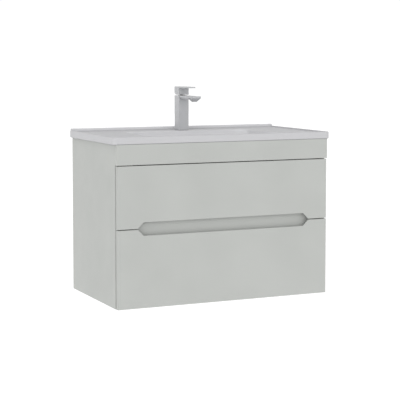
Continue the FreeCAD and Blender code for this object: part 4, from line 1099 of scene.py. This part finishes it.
@dataclass
class Tap(Assembly):
    """The square mixer: body, lever, aerator and what holds it under the deck.

    Attributes:
        ease: How far the edges are broken.
        body_edge: The shortest edge of the body that is broken.
    """
    ease: float = 0.35
    body_edge: float = 4.0

    def build(self) -> None:
        """Breaks the ground edges, as polishing before plating does."""
        self.eased("tap_body", shortest=self.body_edge)
        for node in ("lever_handle", "tap_clamp_plate", "tap_nut"):
            self.eased(node)
        for node in ("tap_gasket", "tap_stud", "tap_cartridge", "cartridge_ring",
                     "aerator_housing", "aerator_insert", "lever_spindle"):
            self.keep(node)


# ---- studio ------------------------------------------------------------------------------------

@dataclass
class Studio:
    """A pale floor, an even bright room and the camera.

    Attributes:
        eye: Where the camera stands.
        turn: How far it is turned from the wall's normal, in degrees.
        dip: How far it looks down, in degrees.
        lens: Focal length on a 36 mm wide sensor.
        lens_shift: How far the frame is shifted up, as a share of its width.
        floor_drop: How far the floor lies under the cabinet.
        floor_size: How wide and deep it is.
        zenith: How bright the room is overhead.
        horizon: How bright it is all round.
        key: How much brighter it is where the key light hangs.
        key_way: The way to the key light.
        key_focus: How narrow the key light is; more is narrower.
    """
    eye: Triple = (-1.8486, -4.2807, 0.8240)
    turn: float = 24.539
    dip: float = 4.284
    lens: float = 114.912
    lens_shift: float = -0.12
    floor_drop: float = 0.85
    floor_size: float = 60.0
    zenith: float = 0.82
    horizon: float = 1.04
    key: float = 1.2
    key_way: Triple = (-0.58, -0.77, 0.27)
    key_focus: float = 4.0

    def build(self) -> None:
        """Makes the floor, the light and the camera."""
        self.make_floor()
        self.make_light()
        self.make_camera()
        view = bpy.context.scene.view_settings
        view.view_transform = "Standard"
        view.look = "None"

    def make_floor(self) -> None:
        """A wide matt floor under the hanging cabinet."""
        mesh = bpy.data.meshes.new("floor")
        half = self.floor_size / 2
        corners = [(x * half, y * half, -self.floor_drop)
                   for x, y in ((-1, -1), (1, -1), (1, 1), (-1, 1))]
        mesh.from_pydata(corners, [], [(0, 1, 2, 3)])
        floor = bpy.data.objects.new("floor", mesh)
        bpy.context.scene.collection.objects.link(floor)
        mesh.materials.append(OPAL.material())

    def make_light(self) -> None:
        """A bright room, darker overhead, with a broad soft key light at the left front."""
        world = bpy.data.worlds.new("studio")
        bpy.context.scene.world = world
        world.use_nodes = True
        tree = world.node_tree
        tree.nodes.clear()
        way = add(tree, "TexCoord").outputs["Generated"]
        height = add(tree, "SeparateXYZ", links={"Vector": way}).outputs["Z"]
        strength = add(tree, "MapRange", {"To Min": self.horizon, "To Max": self.zenith},
                       {"Value": height})
        towards = add(tree, "VectorMath", {"operation": "DOT_PRODUCT",
                                           1: Vector(self.key_way).normalized()}, {0: way})
        ahead = add(tree, "Math", {"operation": "MAXIMUM", 1: 0.0},
                    {0: towards.outputs["Value"]})
        lobe = add(tree, "Math", {"operation": "POWER", 1: self.key_focus},
                   {0: ahead.outputs["Value"]})
        both = add(tree, "Math", {"operation": "MULTIPLY_ADD", 1: self.key},
                   {0: lobe.outputs["Value"], 2: strength.outputs["Result"]})
        light = add(tree, "Background", {"Color": (1.0, 1.0, 1.0, 1.0)},
                    {"Strength": both.outputs["Value"]})
        add(tree, "OutputWorld", links={"Surface": light.outputs["Background"]})

    def make_camera(self) -> None:
        """The camera, left of the middle and a little over the basin."""
        data = bpy.data.cameras.new("camera")
        data.lens = self.lens
        data.shift_y = self.lens_shift
        camera = bpy.data.objects.new("camera", data)
        camera.location = self.eye
        camera.rotation_euler = (math.radians(90 - self.dip), 0.0, math.radians(-self.turn))
        bpy.context.scene.collection.objects.link(camera)
        bpy.context.scene.camera = camera


def main() -> None:
    """Builds the sub-assemblies in order and reports each piece."""
    logging.basicConfig(level=logging.INFO, format="%(message)s")
    assemblies = (Carcass(), *(Drawer(level=level) for level in Level), Runners(), Fasteners(),
                  Hangers(), Basin(), Tap())
    for assembly in assemblies:
        assembly.build()
    Studio().build()


if __name__ == "__main__":
    main()
